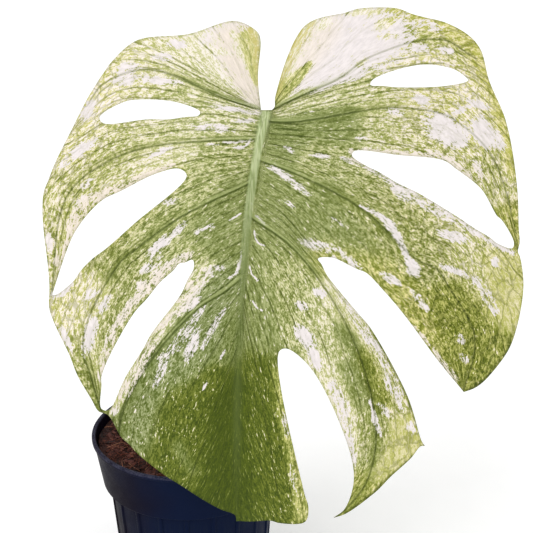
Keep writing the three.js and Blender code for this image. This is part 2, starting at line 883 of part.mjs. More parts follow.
/** The petiole, the bend under the blade and the midrib, in one tapering rod. */
function makeStalk() {
  const petiole = new THREE.CatmullRomCurve3(PETIOLE.map(([x, y, z]) => new THREE.Vector3(x, y, z)));
  const centres = [];
  const radii = [];
  for (let i = 0; i <= PETIOLE_STEPS; i += 1) {
    const at = (i / PETIOLE_STEPS) * (PETIOLE.length - 1);
    const low = Math.min(Math.floor(at), PETIOLE.length - 2);
    centres.push(petiole.getPoint(i / PETIOLE_STEPS));
    radii.push(THREE.MathUtils.lerp(PETIOLE[low][3], PETIOLE[low + 1][3], at - low));
  }
  const bendCentre = -MIDRIB_SINK - BEND_REACH;
  for (let i = 0; i <= BEND_STEPS; i += 1) {
    const turn = (Math.PI * i) / BEND_STEPS;
    const w = bendCentre - BEND_REACH * Math.cos(turn);
    const v = MIDRIB_TOP + BEND_REACH * Math.sin(turn);
    centres.push(bladePoint(midribAt(v), v, w));
    radii.push(THREE.MathUtils.lerp(BEND_RADIUS, MIDRIB_RADIUS, i / BEND_STEPS));
  }
  for (let i = 1; i <= MIDRIB_STEPS; i += 1) {
    const share = i / MIDRIB_STEPS;
    const v = THREE.MathUtils.lerp(MIDRIB_TOP, MIDRIB_END, share);
    const radius = THREE.MathUtils.lerp(MIDRIB_RADIUS, MIDRIB_END_RADIUS, share ** 0.8);
    centres.push(bladePoint(midribAt(v), v, bladeHeight(midribAt(v), v) - MIDRIB_SINK * radius));
    radii.push(radius);
  }
  return rod(centres, radii, ROD_SIDES);
}

const stem = makeStem();
const stemRoom = makeStem(SEAT_GAP + 0.1);
const leaf = largestBody(joined([makeBlade(), makeStalk()]).subtract(stemRoom));
const soil = largestBody(joined([makeSoilBody(), ...makeChips()]).subtract(stemRoom));

const plant = new THREE.Group();
plant.name = "potted_monstera";
plant.add(
  meshOf("pot", makePot(), 0x1d2433, 0.45),
  meshOf("soil", soil, 0x5a3228, 0.95),
  meshOf("stem", stem, 0x6f7a3c, 0.6),
  meshOf("leaf", leaf, 0xa9b877, 0.5),
);

export default plant;
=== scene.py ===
"""White-variegated monstera cutting in a round nursery pot, dressed around its CAD frame.

Sizes are in millimetres and become metres when a mesh is made. The pot's foot is centred on
the origin, +Z is up, and the face of the leaf is turned to -Y.
"""

import logging
import math
from dataclasses import dataclass
from enum import Enum
from typing import Any, Iterable, Sequence

import bpy
import numpy as np
from mathutils import Matrix, Vector, kdtree
from mathutils.geometry import delaunay_2d_cdt


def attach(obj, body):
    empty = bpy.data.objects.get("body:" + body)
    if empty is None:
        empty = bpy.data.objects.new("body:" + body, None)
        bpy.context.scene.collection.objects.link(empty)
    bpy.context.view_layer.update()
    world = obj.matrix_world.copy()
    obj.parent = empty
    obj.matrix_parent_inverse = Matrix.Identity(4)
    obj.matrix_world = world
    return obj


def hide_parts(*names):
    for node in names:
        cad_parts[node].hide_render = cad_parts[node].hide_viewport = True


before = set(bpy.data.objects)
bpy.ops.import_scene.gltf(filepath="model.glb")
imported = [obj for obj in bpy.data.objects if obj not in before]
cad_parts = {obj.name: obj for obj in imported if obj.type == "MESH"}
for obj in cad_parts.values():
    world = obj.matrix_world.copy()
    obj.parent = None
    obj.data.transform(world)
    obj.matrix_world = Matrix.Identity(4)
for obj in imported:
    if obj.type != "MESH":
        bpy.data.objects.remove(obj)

LOG = logging.getLogger("potted_monstera")
MM = 0.001
PHOTO_SIDE = 533
TINY = 1e-6
# Millimetres to one unit of the vein and stalk maps.
MAP_SIDE = 100.0
# Length of a rod's domed end for each millimetre of its radius, and the angles of its rings.
END_CAP = 0.5
DOME_ANGLES = (28, 55, 75)
Colour = tuple[float, float, float, float]
Rows = Sequence[Sequence[float]]
Faces = list[tuple[int, ...]]
Array = np.ndarray
Piece, Material = bpy.types.Object, bpy.types.Material
Tree, Node = bpy.types.NodeTree, bpy.types.Node


# Numbers and meshes that every piece uses.


def tint(code: str) -> Colour:
    """Linear colour of a six-figure sRGB code.

    Args:
        code: Six hexadecimal figures.

    Returns:
        Red, green, blue and 1.
    """
    shares = [int(code[i : i + 2], 16) / 255 for i in (0, 2, 4)]
    red, green, blue = (
        c / 12.92 if c <= 0.04045 else ((c + 0.055) / 1.055) ** 2.4 for c in shares
    )
    return (red, green, blue, 1.0)


def eased(low: float, high: float, value: Array) -> Array:
    """Smooth step of an array from 0 at low to 1 at high."""
    share = np.clip((value - low) / (high - low), 0, 1)
    return share * share * (3 - 2 * share)


def smooth_line(knots: Rows, closed: bool, steps: int) -> Array:
    """Centripetal Catmull-Rom curve through knots, as the CAD source draws it.

    Args:
        knots: Points, each with the same count of numbers.
        closed: Whether the last knot runs on into the first.
        steps: Points to each span.

    Returns:
        The points along the curve, one row each.
    """
    inner = np.asarray(knots, float)
    ends = (inner[-1:], inner[:2]) if closed else (
        2 * inner[:1] - inner[1:2], 2 * inner[-1:] - inner[-2:-1]
    )
    points = np.vstack([ends[0], inner, ends[1]])
    share = (np.arange(steps) / steps)[:, None]
    rows = []
    for before, first, second, after in zip(points, points[1:], points[2:], points[3:]):
        pairs = ((before, first), (first, second), (second, after))
        a, b, c = (math.sqrt(max(float(np.linalg.norm(q - p)), TINY)) for p, q in pairs)
        leave = ((first - before) / a - (second - before) / (a + b) + (second - first) / b) * b
        arrive = ((second - first) / b - (after - first) / (b + c) + (after - second) / c) * b
        rows.append(
            first
            + leave * share
            + (3 * (second - first) - 2 * leave - arrive) * share**2
            + (2 * (first - second) + leave + arrive) * share**3
        )
    if not closed:
        rows.append(inner[-1:])
    return np.vstack(rows)


def lengths_along(line: Array) -> Array:
    """Length from the start of an open line to each of its points."""
    return np.concatenate([[0], np.cumsum(np.linalg.norm(np.diff(line, axis=0), axis=1))])


def even_points(line: Array, step: float) -> Array:
    """Points at nearly even steps along an open line, its last point left out."""
    lengths = lengths_along(line)
    count = max(1, round(lengths[-1] / step))
    at = np.linspace(0, lengths[-1], count, endpoint=False)
    return np.stack([np.interp(at, lengths, line[:, k]) for k in range(line.shape[1])], 1)


def search_tree(points: Array) -> kdtree.KDTree:
    """Tree that finds the nearest of flat points."""
    tree = kdtree.KDTree(len(points))
    for i, (u, v) in enumerate(points):
        tree.insert((u, v, 0), i)
    tree.balance()
    return tree


def near_line(points: Array, line: Array) -> tuple[Array, ...]:
    """How points lie by an open line in the plane.

    Args:
        points: The points, one row each.
        line: The line's points.

    Returns:
        For each point its distance, the length along the line to the nearest place on it,
        the side it lies on (1 or -1), and the share of the way along in line points.
    """
    start, run = line[:-1], np.diff(line, axis=0)
    squared = (run**2).sum(1)
    offset = points[:, None, :] - start[None]
    share = np.clip((offset * run).sum(2) / squared, 0, 1)
    away = offset - share[..., None] * run
    distance = np.sqrt((away**2).sum(2))
    best = distance.argmin(1)
    rows = np.arange(len(points))
    length = np.sqrt(squared)
    before = np.concatenate([[0], np.cumsum(length)[:-1]])
    chosen = share[rows, best]
    cross = run[best, 0] * offset[rows, best, 1] - run[best, 1] * offset[rows, best, 0]
    side = np.where(cross >= 0, 1.0, -1.0)
    return distance[rows, best], before[best] + chosen * length[best], side, best + chosen


def make_piece(name: str, points: Array, faces: list, smooth: bool = True) -> Piece:
    """A mesh object in the scene from points in millimetres.

    Args:
        name: Name of the piece.
        points: One row of three numbers for each point.
        faces: Point numbers of each face, anticlockwise from outside.
        smooth: Whether the faces are shaded smooth.

    Returns:
        The object, at the origin.
    """
    mesh = bpy.data.meshes.new(name)
    mesh.from_pydata((np.asarray(points, float) * MM).tolist(), [], faces)
    mesh.polygons.foreach_set("use_smooth", [smooth] * len(mesh.polygons))
    mesh.update()
    made = bpy.data.objects.new(name, mesh)
    bpy.context.scene.collection.objects.link(made)
    return made


def unit_ring(sides: int) -> Array:
    """Cosine and sine of even turns round a circle."""
    turns = 2 * math.pi * np.arange(sides) / sides
    return np.stack([np.cos(turns), np.sin(turns)], 1)


def level_rings(profile: Iterable[Sequence[float]], sides: int) -> list[Array]:
    """Rings of points round the upright axis, for rows of radius and height."""
    ring = unit_ring(sides)
    return [np.column_stack([ring * r, np.full(sides, z)]) for r, z in profile]


def tube_faces(rings: int, width: int, capped: bool = False) -> Faces:
    """Faces of a closed tube whose points come ring after ring.

    Args:
        rings: Count of rings.
        width: Points to each ring.
        capped: Whether flat faces close its ends, or fans to two more points, low and high.

    Returns:
        Point numbers of each face, anticlockwise from outside.
    """
    last, low, high = (rings - 1) * width, rings * width, rings * width + 1
    faces: Faces = []
    for k in range(width):
        nxt = (k + 1) % width
        if not capped:
            faces += [(low, nxt, k), (high, last + k, last + nxt)]
        for at in range(0, last, width):
            faces.append((at + k, at + nxt, at + nxt + width, at + k + width))
    if capped:
        faces += [tuple(reversed(range(width))), tuple(range(last, last + width))]
    return faces


def swept_rod(stations: Array, sides: int, domed: bool = True) -> tuple[Array, Faces]:
    """A round rod along stations.

    Args:
        stations: Rows of x, y, z and radius.
        sides: Points around the rod.
        domed: Whether its ends are rounded over, or come to a short point.

    Returns:
        Points and faces of the closed rod.
    """
    dome = [math.radians(a) for a in DOME_ANGLES] if domed else []
    first, last = stations[0], stations[-1]
    ahead = (stations[1] - first)[:3]
    behind = (last - stations[-2])[:3]
    ahead, behind = ahead / np.linalg.norm(ahead), behind / np.linalg.norm(behind)

    def cap(end: Array, way: Array) -> list[Array]:
        """Shrinking stations of a dome beyond an end."""
        return [
            np.append(end[:3] + way * END_CAP * end[3] * math.sin(a), end[3] * math.cos(a))
            for a in dome
        ]

    path = np.vstack([*cap(first, -ahead)[::-1], stations, *cap(last, behind)])
    tangents = np.gradient(path[:, :3], axis=0)
    tangents /= np.linalg.norm(tangents, axis=1)[:, None]
    normal = np.eye(3)[np.abs(tangents[0]).argmin()]
    turns = unit_ring(sides)
    rings = []
    for row, along in zip(path, tangents):
        normal = normal - along * (normal @ along)
        normal /= np.linalg.norm(normal)
        across = np.cross(along, normal)
        ring = np.outer(turns[:, 0], normal) + np.outer(turns[:, 1], across)
        rings.append(row[:3] + row[3] * ring)
    tips = [first[:3] - ahead * END_CAP * first[3], last[:3] + behind * END_CAP * last[3]]
    return np.vstack([*rings, *tips]), tube_faces(len(path), sides)


def join_shells(shells: Iterable[tuple[Array, list]]) -> tuple[Array, list]:
    """Several closed shells as one list of points and one of faces."""
    points, faces, start = [], [], 0
    for shell_points, shell_faces in shells:
        points.append(shell_points)
        faces.extend(tuple(start + i for i in face) for face in shell_faces)
        start += len(shell_points)
    return np.vstack(points), faces


def store(piece: Piece, name: str, values: Array) -> None:
    """Keeps a number for each point of a piece under a name that its material reads."""
    attribute = piece.data.attributes.new(name, "FLOAT", "POINT")
    attribute.data.foreach_set("value", np.asarray(values, np.float32))


# Node trees.


class Bench:
    """Adds nodes to one tree and joins them."""

    def __init__(self, tree: Tree) -> None:
        """Takes the tree that the nodes go into."""
        self.tree = tree

    def feed(self, node: Node, feeds: dict) -> Node:
        """Gives a node's inputs, by name or number, a value or another node's output."""
        for key, value in feeds.items():
            if isinstance(value, bpy.types.NodeSocket):
                self.tree.links.new(value, node.inputs[key])
            else:
                node.inputs[key].default_value = value
        return node

    def add(self, kind: str, feeds: dict | None = None, **settings: Any) -> Node:
        """Adds a node.

        Args:
            kind: Blender's name of the node type.
            feeds: For each input name or number, a value or another node's output.
            settings: Properties of the node.

        Returns:
            The node.
        """
        node = self.tree.nodes.new(kind)
        for name, value in settings.items():
            setattr(node, name, value)
        return self.feed(node, feeds or {})

    def out(self, kind: str, feeds: dict, **settings: Any) -> Any:
        """Adds a node and gives its first output."""
        return self.add(kind, feeds, **settings).outputs[0]

    def math(self, operation: str, *terms: Any) -> Any:
        """Result of a Math node on numbers or outputs."""
        return self.out("ShaderNodeMath", dict(enumerate(terms)), operation=operation)

    def vector(self, operation: str, *terms: Any) -> Any:
        """Result of a Vector Math node on vectors or outputs."""
        return self.out("ShaderNodeVectorMath", dict(enumerate(terms)), operation=operation)

    def times(self, result: Any, *others: Any) -> Any:
        """Product of numbers and outputs, the first of them an output."""
        for other in others:
            result = self.math("MULTIPLY", result, other)
        return result

    def total(self, *pairs: tuple[Any, float]) -> Any:
        """Sum of outputs, each times its own number."""
        result: Any = 0.0
        for value, weight in pairs:
            result = self.math("MULTIPLY_ADD", value, weight, result)
        return result

    def step(self, value: Any, low: Any, high: Any, to: Sequence[float] = (0.0, 1.0)) -> Any:
        """Smooth step of an output between two edges."""
        feeds = {0: value, 1: low, 2: high, 3: to[0], 4: to[1]}
        return self.out("ShaderNodeMapRange", feeds, interpolation_type="SMOOTHSTEP")

    def blend(self, share: Any, first: Any, second: Any, how: str = "MIX") -> Any:
        """Colour between two colours."""
        feeds = {0: share, 6: first, 7: second}
        return self.add("ShaderNodeMix", feeds, data_type="RGBA", blend_type=how).outputs[2]

    def joined(self, *axes: Any) -> Any:
        """Vector of three numbers or outputs."""
        return self.out("ShaderNodeCombineXYZ", dict(enumerate(axes)))

    def scaled(self, vector: Any, scale: Any, place: Sequence[float] = (0, 0, 0)) -> Any:
        """Coordinates times a scale for each axis."""
        return self.out("ShaderNodeMapping", {"Vector": vector, "Scale": scale, "Location": place})

    def noise(self, vector: Any, scale: Any, detail: float = 2.0, rough: Any = 0.5) -> Any:
        """Value of a noise texture, about 0.5 on average."""
        feeds = {"Vector": vector, "Scale": scale, "Detail": detail, "Roughness": rough}
        return self.out("ShaderNodeTexNoise", feeds)

    def held(self, name: str) -> Any:
        """Number that a piece keeps for each of its points."""
        return self.add("ShaderNodeAttribute", attribute_name=name).outputs["Fac"]


def open_group(name: str, kind: str, inputs: dict, outputs: dict) -> tuple[Bench, Any, Any]:
    """An empty node group with named sockets.

    Args:
        name: Name of the group.
        kind: ShaderNodeTree or GeometryNodeTree.
        inputs: Socket type and default value for each input name.
        outputs: Socket type for each output name.

    Returns:
        The bench, the group's input node and its output node.
    """
    tree = bpy.data.node_groups.new(name, kind)
    for label, (socket_type, default) in inputs.items():
        socket = tree.interface.new_socket(name=label, in_out="INPUT", socket_type=socket_type)
        if default is not None:
            socket.default_value = default
    for label, socket_type in outputs.items():
        tree.interface.new_socket(name=label, in_out="OUTPUT", socket_type=socket_type)
    return Bench(tree), tree.nodes.new("NodeGroupInput"), tree.nodes.new("NodeGroupOutput")


def grain_group() -> Tree:
    """Shader group for fine surface grain: a mask, and a height for bump."""
    inputs = {
        "Vector": ("NodeSocketVector", None),
        "Size": ("NodeSocketFloat", 0.001),
        "Unevenness": ("NodeSocketFloat", 0.5),
    }
    outputs = {"Mask": "NodeSocketFloat", "Height": "NodeSocketFloat"}
    bench, start, end = open_group("surface_grain", "ShaderNodeTree", inputs, outputs)
    vector, size, uneven = (start.outputs[label] for label in inputs)
    wider, low, high = 0.13, 0.32, 0.68
    scale = bench.math("DIVIDE", 1.0, size)
    fine = bench.noise(vector, scale, 3.0, 0.6)
    wide = bench.times(bench.noise(vector, bench.times(scale, wider)), uneven)
    mask = bench.math("MULTIPLY_ADD", fine, bench.math("SUBTRACT", 1.0, uneven), wide)
    clear = bench.out("ShaderNodeMapRange", {0: mask, 1: low, 2: high})
    bench.feed(end, {"Mask": clear, "Height": fine})
    return bench.tree


def streak_group() -> Tree:
    """Shader group for fine streaks that run along a piece's own veins or length."""
    inputs = {
        "Vector": ("NodeSocketVector", None),
        "Width": ("NodeSocketFloat", 1.0),
        "Length": ("NodeSocketFloat", 4.0),
        "Roughness": ("NodeSocketFloat", 0.6),
    }
    outputs = {"Value": "NodeSocketFloat"}
    bench, start, end = open_group("long_streaks", "ShaderNodeTree", inputs, outputs)
    vector, width, length, rough = (start.outputs[label] for label in inputs)
    scale = bench.joined(*(bench.math("DIVIDE", 1.0, size) for size in (width, length)), 1.0)
    bench.feed(end, {"Value": bench.noise(bench.scaled(vector, scale), 1.0, 3.0, rough)})
    return bench.tree


GRAIN = grain_group()
STREAKS_ALONG = streak_group()


class Coat(Bench):
    """The tree of one material, from its Principled shader back."""

    def __init__(self, name: str) -> None:
        """Opens an empty material, with the place on the piece in metres."""
        self.material = bpy.data.materials.new(name)
        self.material.use_nodes = True
        super().__init__(self.material.node_tree)
        self.shader = self.tree.nodes["Principled BSDF"]
        self.place = self.add("ShaderNodeTexCoord").outputs["Object"]

    def grain(self, size: float, unevenness: float) -> tuple[Any, Any]:
        """Mask and height of surface grain, its size in metres."""
        feeds = {"Vector": self.place, "Size": size, "Unevenness": unevenness}
        node = self.add("ShaderNodeGroup", feeds, node_tree=GRAIN)
        return node.outputs["Mask"], node.outputs["Height"]

    def streaks(self, vector: Any, width: float, length: float, rough: float) -> Any:
        """Value of streaks of a width and length along the vector's second axis."""
        feeds = {"Vector": vector, "Width": width, "Length": length, "Roughness": rough}
        return self.out("ShaderNodeGroup", feeds, node_tree=STREAKS_ALONG)

    def finished(
        self, colour: Any, rough: Any, shine: float, height: Any, depth: float, strength: float
    ) -> Material:
        """Joins everything to the shader.

        Args:
            colour: Base colour.
            rough: Roughness.
            shine: Level of the shader's specular part.
            height: Relief of the surface, 1 at its top.
            depth: Metres that a height of 1 stands for.
            strength: Share of the relief that shows.

        Returns:
            The material.
        """
        feeds = {"Height": height, "Distance": depth, "Strength": strength}
        normal = self.out("ShaderNodeBump", feeds)
        self.feed(self.shader, {
            "Base Color": colour, "Roughness": rough, "Specular IOR Level": shine, "Normal": normal,
        })
        return self.material


# Geometry Nodes trees.


def settle(carrier: Piece, tree: Tree, values: dict, name: str) -> Piece:
    """Runs a Geometry Nodes tree on an object and keeps the result as a plain mesh.

    Args:
        carrier: The object that the tree works on, removed afterwards.
        tree: The Geometry Nodes tree.
        values: A value for each of the tree's named inputs.
        name: Name of the finished piece.

    Returns:
        The finished piece.
    """
    modifier = carrier.modifiers.new(tree.name, "NODES")
    modifier.node_group = tree
    sockets = {s.name: s for s in tree.interface.items_tree if s.in_out == "INPUT"}
    for label, value in values.items():
        modifier[sockets[label].identifier] = value
    graph = bpy.context.evaluated_depsgraph_get()
    mesh = bpy.data.meshes.new_from_object(carrier.evaluated_get(graph))
    mesh.name = name
    bpy.data.objects.remove(carrier)
    made = bpy.data.objects.new(name, mesh)
    bpy.context.scene.collection.objects.link(made)
    return made


# First input, second input and output of a random value, for each kind of it.
RANDOM_SOCKETS = {"FLOAT": (2, 3, 1), "FLOAT_VECTOR": (0, 1, 0), "INT": (4, 5, 2)}
RANDOM_SEED_SOCKET = 8
# What each random choice adds to the seed, and the highest number that picks a shape.
SEED_SHIFTS = {"turn": 11, "shape": 23, "size": 37, "tone": 51}
LAST_PICK = 97


def close_tree(bench: Bench, laid: Any, finish: Any, end: Node) -> Tree:
    """Makes instances real, gives them their finish and ends the tree with them."""
    real = bench.out("GeometryNodeRealizeInstances", {0: laid})
    done = bench.out("GeometryNodeSetMaterial", {"Geometry": real, "Material": finish})
    bench.feed(end, {0: done})
    return bench.tree


def scatter_tree() -> Tree:
    """Geometry Nodes tree that lays loose pieces from a collection over a surface."""
    inputs = {
        "Surface": ("NodeSocketGeometry", None),
        "Pieces": ("NodeSocketCollection", None),
        "Pieces per square metre": ("NodeSocketFloat", 1000.0),
        "Seed": ("NodeSocketInt", 0),
        "Smallest": ("NodeSocketFloat", 0.7),
        "Largest": ("NodeSocketFloat", 1.2),
        "Tilt": ("NodeSocketFloat", 0.3),
        "Lift": ("NodeSocketFloat", 0.0),
        "Finish": ("NodeSocketMaterial", None),
    }
    outputs = {"Geometry": "NodeSocketGeometry"}
    bench, start, end = open_group("scatter_over_surface", "GeometryNodeTree", inputs, outputs)
    get = start.outputs

    def random(kind: str, low: Any, high: Any, choice: str) -> Any:
        """A random value for each piece, with its own seed."""
        seed = bench.math("ADD", get["Seed"], float(SEED_SHIFTS[choice]))
        first, second, found = RANDOM_SOCKETS[kind]
        node = bench.add("FunctionNodeRandomValue", data_type=kind)
        return bench.feed(node, {first: low, second: high, RANDOM_SEED_SOCKET: seed}).outputs[found]

    points = bench.add("GeometryNodeDistributePointsOnFaces", {
        "Mesh": get["Surface"], "Density": get["Pieces per square metre"], "Seed": get["Seed"]})
    shapes = bench.out("GeometryNodeCollectionInfo", {
        0: get["Pieces"], "Separate Children": True, "Reset Children": True})
    back = bench.times(get["Tilt"], -1.0)
    low = bench.joined(back, back, 0.0)
    high = bench.joined(get["Tilt"], get["Tilt"], math.tau)
    facing = bench.out("FunctionNodeRotateEuler", {
        0: points.outputs["Rotation"], "Rotate By": random("FLOAT_VECTOR", low, high, "turn"),
    }, space="LOCAL")
    laid = bench.out("GeometryNodeInstanceOnPoints", {
        "Points": points.outputs["Points"],
        "Instance": shapes,
        "Pick Instance": True,
        "Instance Index": random("INT", 0, LAST_PICK, "shape"),
        "Rotation": facing,
        "Scale": random("FLOAT", get["Smallest"], get["Largest"], "size"),
    })
    lifted = bench.out("GeometryNodeTranslateInstances", {
        "Instances": laid,
        "Translation": bench.joined(0.0, 0.0, get["Lift"]),
        "Local Space": False,
    })
    toned = bench.out("GeometryNodeStoreNamedAttribute", {
        "Geometry": lifted, "Name": "tone", "Value": random("FLOAT", 0.0, 1.0, "tone"),
    }, data_type="FLOAT", domain="INSTANCE")
    return close_tree(bench, toned, get["Finish"], end)


def ring_tree() -> Tree:
    """Geometry Nodes tree that repeats a piece around the upright axis."""
    inputs = {
        "Piece": ("NodeSocketGeometry", None),
        "Count": ("NodeSocketInt", 20),
        "Finish": ("NodeSocketMaterial", None),
    }
    outputs = {"Geometry": "NodeSocketGeometry"}
    bench, start, end = open_group("ring_of_copies", "GeometryNodeTree", inputs, outputs)
    get = start.outputs
    number = bench.out("GeometryNodeInputIndex", {})
    turn = bench.times(number, bench.math("DIVIDE", math.tau, get["Count"]))
    laid = bench.out("GeometryNodeInstanceOnPoints", {
        "Points": bench.out("GeometryNodePoints", {"Count": get["Count"]}),
        "Instance": get["Piece"],
        "Rotation": bench.joined(0.0, 0.0, turn),
    })
    return close_tree(bench, laid, get["Finish"], end)


# The pot.


@dataclass(frozen=True)
class PotPlastic:
    """Navy-black moulded plastic with painted shade on its left side, dusty low down and scuffed at
    the lip. Sizes in metres.
    """

    body: Colour = tint("0a152f")
    # Purple-black of the painted shade on the pot's left side.
    painted_left_shade: Colour = tint("0e0714")
    scuff: Colour = tint("4a4a5c")
    dust: Colour = tint("333a34")
    lip: tuple[float, float] = (0.1078, 0.1096)
    dusty: tuple[float, float] = (0.086, 0.03)
    shine: float = 0.03

    def make(self) -> Material:
        """Builds the material."""
        coat = Coat("navy_pot_plastic")
        mask, grain = coat.grain(0.0009, 0.35)
        apart = coat.add("ShaderNodeSeparateXYZ", {0: coat.place}).outputs
        # Painted shade: the left side, at negative x, darkens to purple-black as if turned from the
        # light, broken up by noise.
        left_shade_share = coat.total((apart["X"], -14.0), (coat.noise(coat.place, 22.0), 0.8))
        colour = coat.blend(coat.step(left_shade_share, 0.55, 1.15), self.body, self.painted_left_shade)
        wear = coat.times(coat.step(apart["Z"], *self.lip), coat.step(mask, 0.1, 0.8), 0.7)
        colour = coat.blend(wear, colour, self.scuff)
        fine = coat.noise(coat.scaled(coat.place, (900.0, 900.0, 60.0)), 1.0)
        powder = coat.times(coat.step(apart["Z"], *self.dusty), coat.step(fine, 0.42, 0.72), 0.26)
        colour = coat.blend(powder, colour, self.dust)
        rough = coat.step(mask, 0.0, 1.0, (0.4, 0.56))
        return coat.finished(colour, rough, self.shine, grain, 0.00012, 0.6)


@dataclass(frozen=True)
class NurseryPot:
    """Thin round pot: a flared band under a rolled lip, and a ribbed body with drain holes."""

    height: float = 110.0
    wall: float = 1.2
    lip_radius: float = 61.0
    lip_depth: float = 2.4
    band_top: float = 59.8
    band_foot: float = 55.6
    band_depth: float = 31.0
    body_top: float = 51.0
    body_foot: float = 45.5
    shoulder_drop: float = 2.2
    foot_ring: float = 4.0
    foot_height: float = 2.6
    pad_radius: float = 12.0
    sides: int = 180
    fillet_steps: int = 4
    crease: float = math.radians(40)
    ribs: int = 20
    rib_width: float = 3.2
    rib_rise: float = 0.9
    rib_foot: float = 8.0
    rib_full: float = 24.0
    rib_sink: float = 0.12
    rib_rows: int = 26
    rib_crease: float = math.radians(60)
    drains: int = 8
    drain_radius: float = 4.2
    drain_circle: float = 30.0
    drain_sides: int = 32

    @property
    def band_low(self) -> float:
        """Height of the band's foot."""
        return self.height - self.band_depth

    @property
    def shoulder(self) -> float:
        """Height where the shoulder meets the body."""
        return self.band_low - self.shoulder_drop

    def radius_at(self, z: float) -> float:
        """Radius of the body's outer face at a height."""
        return self.body_foot + (self.body_top - self.body_foot) * z / self.shoulder

    def corners(self) -> Rows:
        """Corners of the wall's section: radius, height and fillet, from the underside up."""
        top = self.height
        floor = self.foot_height + self.wall
        return (
            (0.0, 0.0, 0.0),
            (self.pad_radius, 0.0, 0.5),
            (self.pad_radius + 1.5, self.foot_height, 0.5),
            (self.body_foot - self.foot_ring - 1, self.foot_height, 0.4),
            (self.body_foot - self.foot_ring, 0.0, 0.4),
            (self.body_foot - 1, 0.0, 0.5),
            (self.body_foot, 1.2, 0.5),
            (self.body_top, self.shoulder, 0.7),
            (self.band_foot, self.band_low, 0.6),
            (self.band_foot + 0.3, self.band_low + 2, 0.8),
            (self.band_top, top - self.lip_depth - 0.8, 0.4),
            (self.lip_radius, top - self.lip_depth, 0.3),
            (self.lip_radius, top - 0.4, 0.35),
            (self.lip_radius - 0.5, top, 0.3),
            (self.lip_radius - 2.2, top, 0.7),
            (self.band_top - self.wall, top - self.lip_depth, 0.7),
            (self.band_foot - self.wall, self.band_low + 1.7, 0.8),
            (self.body_top - self.wall, self.shoulder + 0.6, 0.8),
            (self.radius_at(floor) - self.wall, floor, 0.9),
            (0.0, floor, 0.0),
        )

    def profile(self) -> Array:
        """Rounded section of the wall, [radius, height] from the underside to the inner floor."""
        corners = self.corners()
        rows = []
        for i, (r, z, fillet) in enumerate(corners):
            here = np.array([r, z])
            if not fillet:
                rows.append(here)
                continue
            sides = [np.array(corners[j][:2]) - here for j in (i - 1, i + 1)]
            spans = [float(np.linalg.norm(side)) for side in sides]
            cut = min(fillet, 0.45 * min(spans))
            start, end = (here + side / span * cut for side, span in zip(sides, spans))
            for share in np.linspace(0.0, 1.0, self.fillet_steps + 1):
                left = 1 - share
                rows.append(left**2 * start + 2 * share * left * here + share**2 * end)
        return np.array(rows)

    def shell(self) -> Piece:
        """The turned wall and floor, with its drain holes cut."""
        section = self.profile()
        rings = level_rings(section[1:-1], self.sides)
        points = np.vstack([*rings, [[0, 0, section[0][1]]], [[0, 0, section[-1][1]]]])
        return self.drilled(make_piece("nursery_pot", points, tube_faces(len(rings), self.sides)))

    def drilled(self, shell: Piece) -> Piece:
        """The shell with round drain holes through its floor."""
        cutters = []
        for i in range(self.drains):
            turn = 2 * math.pi * (i + 0.5) / self.drains
            x, y = self.drain_circle * math.cos(turn), self.drain_circle * math.sin(turn)
            rod = np.array([[x, y, z, self.drain_radius] for z in (-4.0, 2.0, 12.0)])
            cutters.append(swept_rod(rod, self.drain_sides))
        cutter = make_piece("drain_cutter", *join_shells(cutters))
        modifier = shell.modifiers.new("drains", "BOOLEAN")
        modifier.operation = "DIFFERENCE"
        modifier.solver = "EXACT"
        modifier.object = cutter
        graph = bpy.context.evaluated_depsgraph_get()
        mesh = bpy.data.meshes.new_from_object(shell.evaluated_get(graph))
        shell.modifiers.clear()
        shell.data = mesh
        bpy.data.objects.remove(cutter)
        mesh.set_sharp_from_angle(angle=self.crease)
        return shell

    def rib(self) -> Piece:
        """One upright rib, rounded over and fading out toward the foot."""
        heights = np.linspace(self.rib_foot, self.shoulder + 0.3, self.rib_rows)
        half = self.rib_width / 2
        rounding = ((-1.0, 0.0), (-0.86, 0.55), (-0.6, 0.92))
        section = (*rounding, (0.0, 1.0), *((-side, share) for side, share in rounding[::-1]))
        points = []
        for z in heights:
            rise = self.rib_rise * float(eased(self.rib_foot, self.rib_full, np.array(z)))
            wall = self.radius_at(min(z, self.shoulder))
            out = wall - self.rib_sink
            points += [(out + rise * share, half * side, z) for side, share in section]
            points += [(wall - self.wall / 2, half * side, z) for side in (1.0, -1.0)]
        faces = tube_faces(len(heights), len(section) + 2, capped=True)
        return make_piece("rib", np.array(points), faces)

    def build(self, repeat: Tree) -> list[Piece]:
        """Builds and dresses the pot.

        Args:
            repeat: The tree that sets the ribs round the pot.

        Returns:
            The pot's pieces.
        """
        finish = PotPlastic().make()
        shell = self.shell()
        shell.data.materials.append(finish)
        ribs = settle(self.rib(), repeat, {"Count": self.ribs, "Finish": finish}, "pot_ribs")
        ribs.data.polygons.foreach_set("use_smooth", [True] * len(ribs.data.polygons))
        ribs.data.set_sharp_from_angle(angle=self.rib_crease)
        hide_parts("pot")
        for piece in (shell, ribs):
            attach(piece, "root")
        return [shell, ribs]


# The potting mix.


@dataclass(frozen=True)
class MixFinish:
    """Damp reddish-brown coir and bark, lighter on the faces that have dried."""

    name: str
    dark: Colour
    middle: Colour
    light: Colour
    grain_size: float
    spread: float
    shine: float = 0.25

    def make(self) -> Material:
        """Builds the material."""
        coat = Coat(self.name)
        mask, grain = coat.grain(self.grain_size, 0.4)
        tone = coat.total((coat.held("tone"), self.spread), (mask, 1 - self.spread))
        colour = coat.blend(coat.step(tone, 0.15, 0.6), self.dark, self.middle)
        colour = coat.blend(coat.step(tone, 0.62, 0.98), colour, self.light)
        rough = coat.step(mask, 0.0, 1.0, (0.66, 0.92))
        return coat.finished(colour, rough, self.shine, grain, 0.0004, 0.8)


